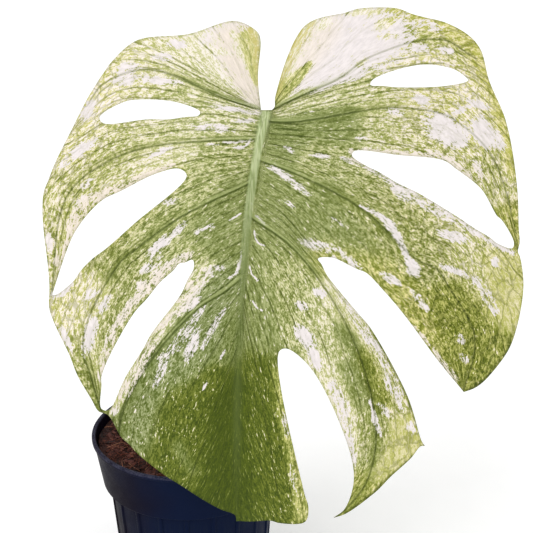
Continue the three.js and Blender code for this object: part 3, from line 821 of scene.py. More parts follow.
@dataclass(frozen=True)
class LooseKind:
    """One kind of loose pieces on the mix: how many, how large, and how they lie."""

    name: str
    shapes: Sequence[Piece]
    finish: Material
    per_square_metre: float
    sizes: tuple[float, float]
    tilt: float
    lift: float
    reach: tuple[float, float]

    def lay(self, field: Piece, scatter: Tree, seed: int) -> Piece:
        """Lays the pieces over a field.

        Args:
            field: The surface they lie on, removed afterwards, as the shapes are.
            scatter: The tree that lays them.
            seed: Seed of their places and turns.

        Returns:
            All of them as one piece.
        """
        shelf = bpy.data.collections.new(self.name + "_shapes")
        for shape in self.shapes:
            bpy.context.scene.collection.objects.unlink(shape)
            shelf.objects.link(shape)
        values = {
            "Pieces": shelf,
            "Pieces per square metre": self.per_square_metre,
            "Seed": seed,
            "Smallest": self.sizes[0],
            "Largest": self.sizes[1],
            "Tilt": self.tilt,
            "Lift": self.lift,
            "Finish": self.finish,
        }
        piece = settle(field, scatter, values, self.name)
        for shape in self.shapes:
            bpy.data.objects.remove(shape)
        bpy.data.collections.remove(shelf)
        return piece


@dataclass(frozen=True)
class PottingMix:
    """Coarse coir and bark mix: a crumbly bed with loose chips, fibres and crumbs on it."""

    pot: NurseryPot
    gap: float = 0.3
    level: float = 104.0
    relief: float = 1.1
    sectors: int = 180
    rings: int = 44
    field_rings: int = 16
    field_sectors: int = 72
    shape_sides: int = 6
    seed: int = 11
    seed_step: int = 7

    def height_at(self, x: Array, y: Array) -> Array:
        """Height of the mix over its level, as the CAD source has it."""
        waves = np.sin(x * 0.21 + 1.3) * np.cos(y * 0.18 - 0.4) + 0.6 * np.sin(x * 0.43 - y * 0.37)
        return self.relief * waves + 2.2 * np.exp(-(x * x + y * y) / 300)

    def crumble(self, x: Array, y: Array) -> Array:
        """Small lumps on the bed."""
        lumps = np.sin(1.7 * x + 2.1 * np.sin(0.9 * y)) * np.sin(1.5 * y + 1.7 * np.sin(1.1 * x))
        finer = np.sin(3.9 * x + 1.3 * y) * np.sin(3.3 * y - 1.9 * x)
        return 0.42 * lumps + 0.22 * finer

    def ring_at(self, radius: float, sectors: int, lumpy: bool) -> Array:
        """Ring of points on the surface of the mix, with or without its small lumps."""
        flat = unit_ring(sectors) * radius
        height = self.level + self.height_at(flat[:, 0], flat[:, 1])
        if lumpy:
            height += self.crumble(flat[:, 0], flat[:, 1])
        return np.column_stack([flat, height])

    def bed(self) -> tuple[Array, Faces]:
        """Points and faces of the closed bed."""
        pot = self.pot
        floor = pot.foot_height + pot.wall + self.gap
        inset = pot.wall + self.gap + 0.1
        share = (self.level - pot.band_low) / pot.band_depth
        top = pot.band_foot + (pot.band_top - pot.band_foot) * share - inset - self.gap
        sides = (
            (pot.radius_at(floor) - inset - 0.4, floor),
            (pot.radius_at(pot.shoulder) - inset, pot.shoulder + 0.8),
            (pot.band_foot - inset, pot.band_low + 2.2),
            (top, self.level - 2.5),
        )
        rings = level_rings(sides, self.sectors)
        for i in range(self.rings, 0, -1):
            rings.append(self.ring_at(top * i / self.rings, self.sectors, i < self.rings))
        peak = self.level + float(self.height_at(np.zeros(1), np.zeros(1))[0])
        points = np.vstack([*rings, [[0, 0, floor]], [[0, 0, peak]]])
        return points, tube_faces(len(rings), self.sectors)

    def field(self, inner: float, outer: float) -> Piece:
        """The part of the bed's surface that loose pieces may lie on."""
        rings, sectors = self.field_rings, self.field_sectors
        radii = (inner + (outer - inner) * i / rings for i in range(rings + 1))
        points = np.vstack([self.ring_at(radius, sectors, False) for radius in radii])
        faces = []
        for i in range(rings):
            for k in range(sectors):
                a, b = i * sectors + k, i * sectors + (k + 1) % sectors
                faces.append((a, a + sectors, b + sectors, b))
        return make_piece("mix_field", points, faces)

    def chip_shapes(self, draw: np.random.Generator) -> list[Piece]:
        """Five split bark chips."""
        shapes = []
        for i in range(5):
            long, wide = draw.uniform(3.2, 6.2), draw.uniform(1.4, 2.8)
            high = draw.uniform(0.9, 1.7)
            rows = []
            for share in np.linspace(-1, 1, 6):
                pinch = (1 - 0.55 * abs(share) ** 3) * draw.uniform(0.8, 1.1)
                bend = 0.5 * draw.uniform(-1, 1)
                for turn in np.radians((20, 75, 140, 200, 265, 330)):
                    rows.append((
                        long / 2 * share + draw.uniform(-0.25, 0.25),
                        wide / 2 * pinch * math.cos(turn) + bend,
                        high / 2 * pinch * math.sin(turn) * draw.uniform(0.75, 1.15),
                    ))
            shapes.append(self.lump(f"chip_shape_{i}", rows))
        return shapes

    def lump(self, name: str, rows: list) -> Piece:
        """Flat-faced closed shape from rings of points."""
        faces = tube_faces(len(rows) // self.shape_sides, self.shape_sides, capped=True)
        return make_piece(name, np.array(rows), faces, smooth=False)

    def fibre_shapes(self, draw: np.random.Generator) -> list[Piece]:
        """Six curled coir fibres."""
        shapes = []
        for i in range(6):
            length, curl = draw.uniform(6.0, 12.0), draw.uniform(-0.9, 0.9)
            rise = draw.uniform(0.3, 1.3)
            rows = []
            for share in np.linspace(0, 1, 9):
                angle = curl * (share - 0.5) * 2
                rows.append((
                    length * (share - 0.5) * math.cos(0.6 * angle),
                    length * 0.3 * math.sin(angle + 1.3 * share),
                    rise * math.sin(math.pi * share) + 0.25 * math.sin(7 * share + i),
                    0.17 - 0.06 * share,
                ))
            shapes.append(make_piece(f"fibre_shape_{i}", *swept_rod(np.array(rows), 4, False)))
        return shapes

    def crumb_shapes(self, draw: np.random.Generator) -> list[Piece]:
        """Four rounded crumbs of coir pith."""
        shapes = []
        for i in range(4):
            rows = []
            for z, r in ((-0.75, 0.55), (-0.1, 1.0), (0.6, 0.65)):
                for k in range(self.shape_sides):
                    turn = math.tau * (k + 0.4 * (z > 0)) / self.shape_sides
                    reach = r * draw.uniform(0.75, 1.15)
                    x, y = reach * math.cos(turn), reach * math.sin(turn)
                    rows.append((x, y, z * draw.uniform(0.8, 1.1)))
            shapes.append(self.lump(f"crumb_shape_{i}", rows))
        return shapes

    def kinds(self, damp: Material) -> list[LooseKind]:
        """Kinds of loose pieces, their shapes drawn one kind after another."""
        bark = MixFinish("bark_chip", tint("1f100d"), tint("56302a"), tint("8c5e4c"), 0.0006, 0.6)
        husk = MixFinish("coir_fibre", tint("30150f"), tint("7a4030"), tint("b98667"), 0.0008, 0.75)
        draw = np.random.default_rng(self.seed)
        crumbs, chips = self.crumb_shapes(draw), self.chip_shapes(draw)
        fibres = self.fibre_shapes(draw)
        kinds = (
            ("mix_crumbs", crumbs, damp, 190000.0, (0.3, 0.9), 0.6, 0.0002, (9.0, 55.6)),
            ("bark_chips", chips, bark.make(), 62000.0, (0.6, 1.25), 0.35, 0.0004, (9.5, 53.0)),
            ("coir_fibres", fibres, husk.make(), 110000.0, (0.5, 1.1), 0.3, 0.0009, (10.0, 50.5)),
        )
        return [LooseKind(*kind) for kind in kinds]

    def build(self, scatter: Tree) -> list[Piece]:
        """Builds and dresses the potting mix.

        Args:
            scatter: The tree that lays loose pieces over the bed.

        Returns:
            The pieces of the mix.
        """
        coir = MixFinish("coir_bed", tint("120a0a"), tint("3a1d18"), tint("6e4034"), 0.0011, 0.0)
        bed = make_piece("potting_mix", *self.bed())
        damp = coir.make()
        bed.data.materials.append(damp)
        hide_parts("soil")
        made = [bed]
        for i, kind in enumerate(self.kinds(damp)):
            field = self.field(*kind.reach)
            made.append(kind.lay(field, scatter, self.seed + self.seed_step * i))
        for piece in made:
            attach(piece, "root")
        return made


# The stem and its roots.


@dataclass(frozen=True)
class StemSkin:
    """Green stem skin that browns at the node rings and toward the soil."""

    green: Colour = tint("6f7a3a")
    pale: Colour = tint("a9ad74")
    cork: Colour = tint("6b4f35")
    root: Colour = tint("8a6a48")
    shine: float = 0.35

    def make(self) -> Material:
        """Builds the material."""
        coat = Coat("stem_skin")
        mask, grain = coat.grain(0.0012, 0.5)
        fine = coat.noise(coat.scaled(coat.place, (700.0, 700.0, 120.0)), 1.0, 3.0)
        colour = coat.blend(coat.step(fine, 0.35, 0.7), self.green, self.pale)
        patchy = coat.total((coat.held("cork"), 1.0), (mask, 0.5))
        colour = coat.blend(coat.step(patchy, 0.45, 0.95), colour, self.cork)
        colour = coat.blend(coat.held("root"), colour, self.root)
        rough = coat.step(patchy, 0.2, 1.2, (0.48, 0.8))
        return coat.finished(colour, rough, self.shine, grain, 0.0003, 0.7)


@dataclass(frozen=True)
class StemAndRoots:
    """Short thick stem with node rings, and roots that run down through the mix."""

    stem_sides: int = 32
    root_sides: int = 12
    node_heights: tuple[float, ...] = (68.0, 86.0, 102.5)
    kink: float = 0.25
    kink_way: tuple[float, float, float] = (0.6, -0.7, 0.3)
    kink_pace: float = 1.3
    straight_points: int = 3
    root_cork: float = 0.5
    root_tint: float = 0.8

    def build(self) -> list[Piece]:
        """Builds and dresses the stem with its roots."""
        stem = swept_rod(smooth_line(STEM, False, 6), self.stem_sides)
        heights = stem[0][:, 2]
        from_nodes = (heights[:, None] - np.array(self.node_heights)) ** 2
        cork = [np.exp(-(from_nodes / 3.0)).max(1) + eased(106, 96, heights) * 0.4]
        shells, root = [stem], [np.zeros(len(heights))]
        for line in ROOTS:
            path = smooth_line(line, False, 9)
            sway = self.kink * np.sin(np.arange(len(path)) * self.kink_pace)[:, None]
            sway[: self.straight_points] = 0
            path[:, :3] += sway * np.array(self.kink_way)
            points, faces = swept_rod(path, self.root_sides)
            shells.append((points, faces))
            cork.append(np.full(len(points), self.root_cork))
            away = np.linalg.norm(points - path[0, :3], axis=1)
            root.append(eased(2.0, 9.0, away) * self.root_tint)
        piece = make_piece("stem_and_roots", *join_shells(shells))
        store(piece, "cork", np.concatenate(cork))
        store(piece, "root", np.concatenate(root))
        piece.data.materials.append(StemSkin().make())
        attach(piece, "root")
        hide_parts("stem")
        return [piece]


# The leaf.


class Half(Enum):
    """Half of the blade beside the midrib, with its direction across."""

    LEFT = -1
    RIGHT = 1


@dataclass(frozen=True)
class BladeForm:
    """The blade's middle surface over its flat outline, as the CAD source has it."""

    base: tuple[float, float, float] = (49.0, -8.0, 309.0)
    lean: float = math.radians(20)
    shift: float = 19.5
    shift_length: float = 75.0
    channel_depth: float = 5.5
    channel_reach: float = 14.0
    droop: float = 0.0015
    arch: float = 0.0006
    crown: float = -75.0
    curl: float = 8e-6
    curl_start: float = -135.0
    ridge: float = 1.8
    ridge_reach: float = 12.0
    wave: float = 2.0
    wave_centre: tuple[float, float] = (0.0, -80.0)
    wave_start: float = 66.0
    wave_full: float = 138.0
    waves: tuple = ((7, 0.6, 1.0), (13, 2.1, 0.55))
    midrib_top: float = -6.6
    midrib_end: float = -224.0
    midrib_radius: float = 2.5
    midrib_tip_radius: float = 0.7
    midrib_sink: float = 0.45

    def midrib_at(self, v: Array) -> Array:
        """Sideways place of the midrib at heights on the blade."""
        return -self.shift * (1 - np.exp(np.minimum(v, 0) / self.shift_length))

    def midrib_half(self, v: Array) -> Array:
        """Radius of the midrib at heights on the blade."""
        share = np.clip((self.midrib_top - v) / (self.midrib_top - self.midrib_end), 0, 1)
        return self.midrib_radius + (self.midrib_tip_radius - self.midrib_radius) * share**0.8

    def midrib_line(self, start: float, stop: float, step: float) -> Array:
        """Points of the midrib on the outline's plane, at even heights."""
        v = np.arange(start, stop, step)
        return np.stack([self.midrib_at(v), v], 1)

    def height(self, flat: Array) -> Array:
        """Height toward the viewer of the face at points of the outline's plane."""
        u, v = flat[:, 0], flat[:, 1]
        aside = np.abs(u - self.midrib_at(v))
        channel = self.channel_depth * (1 - np.exp(-((aside / self.channel_reach) ** 2)))
        arch = self.arch * (self.crown**2 - (v - self.crown) ** 2)
        curl = self.curl * np.maximum(0, self.curl_start - v) ** 3
        away = np.min([near_line(flat, line)[0] for line in RAISED_VEINS], axis=0)
        ridge = self.ridge * np.exp(-((away / self.ridge_reach) ** 2)) * eased(4, 26, aside)
        out = np.hypot(u - self.wave_centre[0], v - self.wave_centre[1])
        turn = np.arctan2(v - self.wave_centre[1], u - self.wave_centre[0])
        swing = sum(share * np.sin(count * turn + phase) for count, phase, share in self.waves)
        wave = self.wave * eased(self.wave_start, self.wave_full, out) * swing
        return channel - self.droop * aside**2 + arch - curl + ridge + wave

    def place(self, flat: Array, w: Array) -> Array:
        """Points of the blade's own frame in the part's frame."""
        sine, cosine = math.sin(self.lean), math.cos(self.lean)
        u, v = flat[:, 0], flat[:, 1]
        offset = np.stack([u, v * sine - w * cosine, v * cosine + w * sine], 1)
        return np.array(self.base) + offset


class VeinField:
    """Where points lie among the main veins of one half of the blade."""

    # Lengths that the lines run on past the margin and back beyond the midrib. The first, on the
    # sinus edge, runs back only this little.
    TAIL, HEAD, FIRST_HEAD = 60.0, 40.0, 0.1
    # Least width between two lines, and which share of the widths found between them counts.
    LEAST_WIDTH, WIDTH_SHARE = 12.0, 65

    def __init__(self, half: Half, form: BladeForm) -> None:
        """Takes the half, and lines up its veins from the sinus down to the midrib's end."""
        self.half = half
        self.veins = []
        for line in FIELD_VEINS[half]:
            smooth = smooth_line(line, False, 5)
            run = smooth[-1] - smooth[-2]
            lead = smooth[0] - smooth[1]
            tail = smooth[-1] + self.TAIL * run / np.linalg.norm(run)
            reach = self.HEAD if self.veins else self.FIRST_HEAD
            head = smooth[0] + reach * lead / np.linalg.norm(lead)
            self.veins.append(np.vstack([head, smooth, tail]))
        self.veins.append(form.midrib_line(6.0, -236.0, -6.0))

    def measure(self, flat: Array, own: Array) -> tuple[Array, ...]:
        """Vein coordinates of points.

        Args:
            flat: Points of the outline's plane.
            own: Whether each lies on this half.

        Returns:
            The number of the line above each point plus the share of the way to the next, the
            way across in about a millimetre, the length along, and the lines' distance apart.
        """
        found = [near_line(flat, line) for line in self.veins]
        below = np.stack([side * -self.half.value > 0 for _, _, side, _ in found[:-1]])
        index = np.clip(np.cumprod(below, axis=0).sum(0) - 1, 0, len(found) - 2)
        rows = np.arange(len(flat))
        distance = np.stack([d for d, *_ in found])
        length = np.stack([a for _, a, *_ in found])
        near, far = distance[index, rows], distance[index + 1, rows]
        gap = near + far
        share = near / np.maximum(gap, TINY)
        along = (1 - share) * length[index, rows] + share * length[index + 1, rows]
        widths = np.array([
            np.percentile(np.append(gap[own & (index == k)], self.LEAST_WIDTH), self.WIDTH_SHARE)
            for k in range(len(found) - 1)
        ])
        across = np.concatenate([[0], np.cumsum(widths)])[index] + share * widths[index]
        return index + share, across, along, gap


def ellipse_cover(flat: Array, rows: Rows) -> Array:
    """How strongly soft ellipses cover points.

    Args:
        flat: Points of the outline's plane.
        rows: Centre u and v, half length, half width, turn in degrees and strength.

    Returns:
        The strongest cover at each point.
    """
    cover = np.zeros(len(flat))
    for u, v, long, wide, turn, strength in rows:
        angle = math.radians(turn)
        offset = flat - (u, v)
        ahead = (offset[:, 0] * math.cos(angle) + offset[:, 1] * math.sin(angle)) / long
        aside = (offset[:, 1] * math.cos(angle) - offset[:, 0] * math.sin(angle)) / wide
        reach = np.hypot(ahead, aside)
        cover = np.maximum(cover, strength * eased(1.8, 0.45, reach))
    return cover


def stroke_cover(flat: Array, strokes: Sequence) -> Array:
    """How strongly soft strokes cover points, each a strength and rows of u, v and half width."""
    cover = np.zeros(len(flat))
    for strength, rows in strokes:
        line = smooth_line(rows, False, 5)
        distance, _, _, at = near_line(flat, line[:, :2])
        half = np.interp(at, np.arange(len(line)), line[:, 2])
        cover = np.maximum(cover, strength * eased(2.1, 0.5, distance / half))
    return cover


class Wash(Enum):
    """Broad tones: level from dark green to cream, mottle, blueness and strength of pale flecks.
    Blueness above nought is a painted bluish sheen of reflected sky, below nought an olive cast.
    """

    DEEP = (-0.08, 0.04, -1.1, 0.34)
    MOSS = (0.05, 0.09, -0.8, 0.78)
    # Painted shade, with a painted bluish sheen.
    SHADE_WITH_SHEEN = (0.24, 0.10, 0.4, 0.3)
    SAGE = (0.35, 0.10, 0.3, 0.55)
    # Middle green under a painted bluish sheen of reflected sky.
    BLUE_SHEEN = (0.32, 0.13, 0.65, 0.62)
    OLIVE = (0.34, 0.16, -0.7, 0.45)
    FERN = (0.51, 0.18, 0.0, 0.4)
    LIME = (0.56, 0.16, -0.6, 0.3)
    PALE = (0.70, 0.16, 0.0, 0.25)
    CALM = (0.72, 0.06, -0.15, 0.1)
    LEMON = (0.72, 0.09, -0.5, 0.15)
    CREAM = (0.84, 0.14, 0.0, 0.1)
    MILK = (0.93, 0.10, 0.1, 0.0)


def washed(flat: Array) -> Array:
    """Level, mottle, blueness and flecks at points: narrow washes lie over the wide ones."""
    total = np.zeros((len(flat), 4))
    weights = np.zeros((len(flat), 1))
    for wash, rows in WASHES:
        line = smooth_line(rows, False, 4) if len(rows) > 2 else np.array(rows, float)
        distance, _, _, at = near_line(flat, line[:, :2])
        reach = np.interp(at, np.arange(len(line)), line[:, 2])
        weight = ((8 / reach) ** 1.5 * (1 + 0.5 * (distance / reach) ** 2) ** -3.5)[:, None]
        total += weight * np.array(wash.value)
        weights += weight
    return total / weights


# Width, length and roughness of the streaks that make the mottle, in millimetres.
MOTTLE_STREAKS = {"fine": (0.75, 3.2, 0.8), "middle": (1.9, 6.0, 0.65), "broad": (4.4, 13.0, 0.5)}
# Weight of each in the mottle, where the veins lie close and where they lie far apart.
MOTTLE_WEIGHTS = {"fine": (3.5, 8.5), "middle": (5.0, 2.4), "broad": (2.4, 1.0)}


@dataclass(frozen=True)
class BladeFinish:
    """Variegated skin: tones from deep green to cream with painted sheen and shade, ragged white
    patches, and veins.
    """

    name: str
    tones: tuple[tuple[float, Colour], ...]
    white: Colour
    rose: Colour
    gold: Colour
    midrib: Colour
    rib_dark: Colour
    rib_low: Colour
    shoulder: Colour
    line: Colour
    vein: Colour
    gloss: float
    relief: float
    shine: float = 0.14
    ramp_scale: float = 0.8
    ramp_start: float = 0.15

    def mottle(self, coat: Coat, run: Any) -> dict[str, Any]:
        """Noises that stretch along the veins, each about nought, and the pale flecks."""
        wander = coat.add("ShaderNodeTexNoise", {"Vector": run, "Scale": 0.11, "Detail": 1.0})
        shift = coat.vector("SUBTRACT", wander.outputs["Color"], (0.5, 0.5, 0.5))
        moved = coat.vector("MULTIPLY_ADD", shift, (2.4, 0.0, 0.0), run)
        cells = coat.add("ShaderNodeTexVoronoi", {
            "Vector": coat.scaled(moved, (0.75, 0.42, 0.0)), "Scale": 1.0,
        }, voronoi_dimensions="2D").outputs["Color"]
        noises = {key: coat.streaks(moved, *sizes) for key, sizes in MOTTLE_STREAKS.items()}
        noises["grain"] = coat.grain(0.001, 0.1)[1]
        noises["cells"] = coat.out("ShaderNodeSeparateXYZ", {0: cells})
        found = {key: coat.math("SUBTRACT", value, 0.5) for key, value in noises.items()}
        other = coat.scaled(moved, (1.0, 1.0, 1.0), (37.3, 11.9, 0.0))
        dashes = coat.step(coat.streaks(other, 1.1, 3.2, 0.62), 0.56, 0.66)
        found["flecks"] = coat.times(dashes, coat.step(found["broad"], -0.14, 0.08, (0.1, 1.1)))
        return found

    def lines(self, coat: Coat, run: Any) -> tuple[Any, Any]:
        """Dark lines of the small veins, and those of the main side veins, which are partly the
        veins' own colour and partly painted shade on the lower side of their ridge.
        """
        lanes = coat.total((coat.held("lane"), 1.0), (coat.noise(run, 0.04), 0.6))
        whole = coat.math("ROUND", lanes)
        away = coat.math("ABSOLUTE", coat.math("SUBTRACT", lanes, whole))
        away = coat.times(away, coat.times(coat.held("gap"), 0.25))
        chance = coat.out("ShaderNodeTexWhiteNoise", {"W": whole}, noise_dimensions="1D")
        breaks = coat.noise(coat.scaled(run, (0.25, 0.07, 0.0)), 1.0)
        thread = coat.times(
            coat.step(away, 0.7, 0.15),
            coat.step(chance, 0.0, 0.8, (0.45, 1.0)),
            coat.step(breaks, 0.36, 0.56, (0.35, 1.0)),
            coat.step(coat.held("level"), -0.05, 0.3, (0.4, 0.95)),
        )
        bent = coat.add("ShaderNodeTexNoise", {"Vector": run, "Scale": 0.3, "Detail": 1.0})
        bent = coat.vector("MULTIPLY_ADD", bent.outputs["Color"], (4.0, 4.0, 0.0), run)
        cells = coat.out("ShaderNodeTexVoronoi", {
            "Vector": coat.scaled(bent, (0.16, 0.12, 0.0)), "Scale": 1.0, "Randomness": 0.95,
        }, feature="DISTANCE_TO_EDGE")
        net = coat.times(coat.step(cells, 0.09, 0.015), coat.held("outer"), 0.6)
        near = coat.held("near")
        # Near the midrib the main vein line sits below the vein: painted shade on the lower side of
        # its raised ridge, over its own darker colour.
        lean = coat.math("MULTIPLY_ADD", near, 1.15, coat.held("vein"))
        main = coat.times(
            coat.step(coat.math("ABSOLUTE", lean), 0.95, 0.15),
            coat.held("close"),
            coat.math("MULTIPLY_ADD", near, 0.25, 0.75),
        )
        return coat.math("MAXIMUM", thread, net), main

    def swing(self, coat: Coat, noise: dict[str, Any]) -> Any:
        """How far the mottle leaves the level of tone, both ways."""
        roomy = coat.step(coat.held("gap"), 8.0, 28.0)
        mixed = coat.total((noise["grain"], 3.6), (noise["cells"], 1.2))
        for label, (tight, wide) in MOTTLE_WEIGHTS.items():
            weight = coat.math("MULTIPLY_ADD", roomy, wide - tight, tight)
            mixed = coat.math("MULTIPLY_ADD", noise[label], weight, mixed)
        return coat.step(mixed, -1.3, 1.3, (-1.9, 1.9))

    def white_fill(self, coat: Coat, noise: dict[str, Any]) -> Any:
        """How far the cover of white passes its ragged edge, which is at nought."""
        ragged = coat.total(
            (noise["fine"], 2.6), (noise["middle"], 2.6), (noise["broad"], 1.5),
            (noise["grain"], 1.6),
        )
        cover = coat.held("white")
        ragged = coat.times(ragged, coat.step(cover, 0.0, 0.35))
        return coat.math("SUBTRACT", coat.math("MULTIPLY_ADD", cover, 1.08, ragged), 0.52)

    def toned(self, coat: Coat, noise: dict[str, Any], swing: Any, level: Any) -> Any:
        """Green to cream colour for a level of tone, with its blue and red casts, in part a painted
        sheen, and its gold cast.
        """
        place = coat.math("MULTIPLY_ADD", level, self.ramp_scale, self.ramp_start)
        ramp = coat.add("ShaderNodeValToRGB", {0: place})
        stops = ramp.color_ramp.elements
        for i, (at, colour) in enumerate(self.tones):
            stop = stops[i] if i < len(stops) else stops.new(1.0)
            stop.position = self.ramp_scale * at + self.ramp_start
            stop.color = colour
        outer = coat.held("outer")
        low = coat.times(coat.step(swing, 0.6, -1.2), outer)
        # Painted bluish sheen where the blueness is above nought, an olive cast below nought, both
        # weaker on the pale flecks.
        sheen_and_olive = coat.times(coat.held("blue"), coat.step(noise["flecks"], 0.0, 1.0, (1.0, 0.25)))
        blue = coat.total((sheen_and_olive, 0.45), (low, -0.3), (1.0, 1.0))
        red = coat.total((sheen_and_olive, -0.03), (outer, 0.03), (1.0, 1.0))
        colour = coat.vector("MULTIPLY", ramp.outputs[0], coat.joined(red, 1.0, blue))
        gilt = coat.times(coat.held("gold"), coat.step(noise["middle"], -0.15, 0.1))
        return coat.blend(gilt, colour, self.gold)

    def make(self) -> Material:
        """Builds the material."""
        coat = Coat(self.name)
        veins = coat.add("ShaderNodeUVMap", uv_map="veins").outputs[0]
        run = coat.scaled(veins, (MAP_SIDE, MAP_SIDE, 0.0))
        noise = self.mottle(coat, run)
        swing, fill = self.swing(coat, noise), self.white_fill(coat, noise)
        level = coat.math("MULTIPLY_ADD", swing, coat.held("contrast"), coat.held("level"))
        level = coat.math("MULTIPLY_ADD", noise["flecks"], coat.held("flecks"), level)
        level = coat.math("MULTIPLY_ADD", coat.step(fill, -0.45, 0.05), 0.12, level)
        colour = self.toned(coat, noise, swing, level)
        white = coat.step(fill, -0.12, 0.12)
        pale = coat.blend(coat.held("rose"), self.white, self.rose)
        soft = coat.step(noise["middle"], -0.2, 0.2, (0.9, 1.06))
        pale = coat.out("ShaderNodeVectorMath", {0: pale, "Scale": soft}, operation="SCALE")
        colour = coat.blend(coat.times(white, 0.96), colour, pale)

        small, main = self.lines(coat, run)
        beside = coat.step(coat.math("ABSOLUTE", coat.held("vein")), 1.7, 0.5)
        shoulder = coat.times(beside, coat.held("near"), coat.held("close"), 0.65)
        colour = coat.blend(shoulder, colour, self.shoulder)
        eased_small = coat.times(small, coat.step(white, 0.0, 1.0, (1.0, 0.24)))
        # Main vein lines, partly the veins' own colour and partly painted shade below the ridge,
        # eased on white.
        vein_line_shade = coat.times(main, coat.step(white, 0.0, 1.0, (0.98, 0.6)))
        colour = coat.blend(eased_small, colour, self.line, "MULTIPLY")
        colour = coat.blend(vein_line_shade, colour, self.vein, "MULTIPLY")

        fibres = coat.noise(coat.scaled(coat.place, (1500.0, 300.0, 26.0)), 1.0, 2.5)
        rib = coat.blend(coat.step(fibres, 0.38, 0.62), self.rib_dark, self.midrib)
        rib = coat.blend(coat.held("down"), rib, self.rib_low)
        colour = coat.blend(coat.held("midrib"), colour, rib)
        # Painted shade along the midrib's edges, then the dark lines at the margins with their
        # painted rim shade, darken the colour.
        for share in (coat.times(coat.held("midrib_edge_shade"), 0.5), coat.held("edge")):
            colour = coat.blend(share, colour, self.line, "MULTIPLY")

        ridges = coat.total(
            (small, -0.35), (main, -0.5), (noise["grain"], 0.5), (noise["fine"], 0.35),
            (white, 0.08),
        )
        rough = coat.math("ADD", coat.total((noise["grain"], 0.35), (white, 0.08)), self.gloss)
        return coat.finished(colour, rough, self.shine, ridges, self.relief, 0.8)


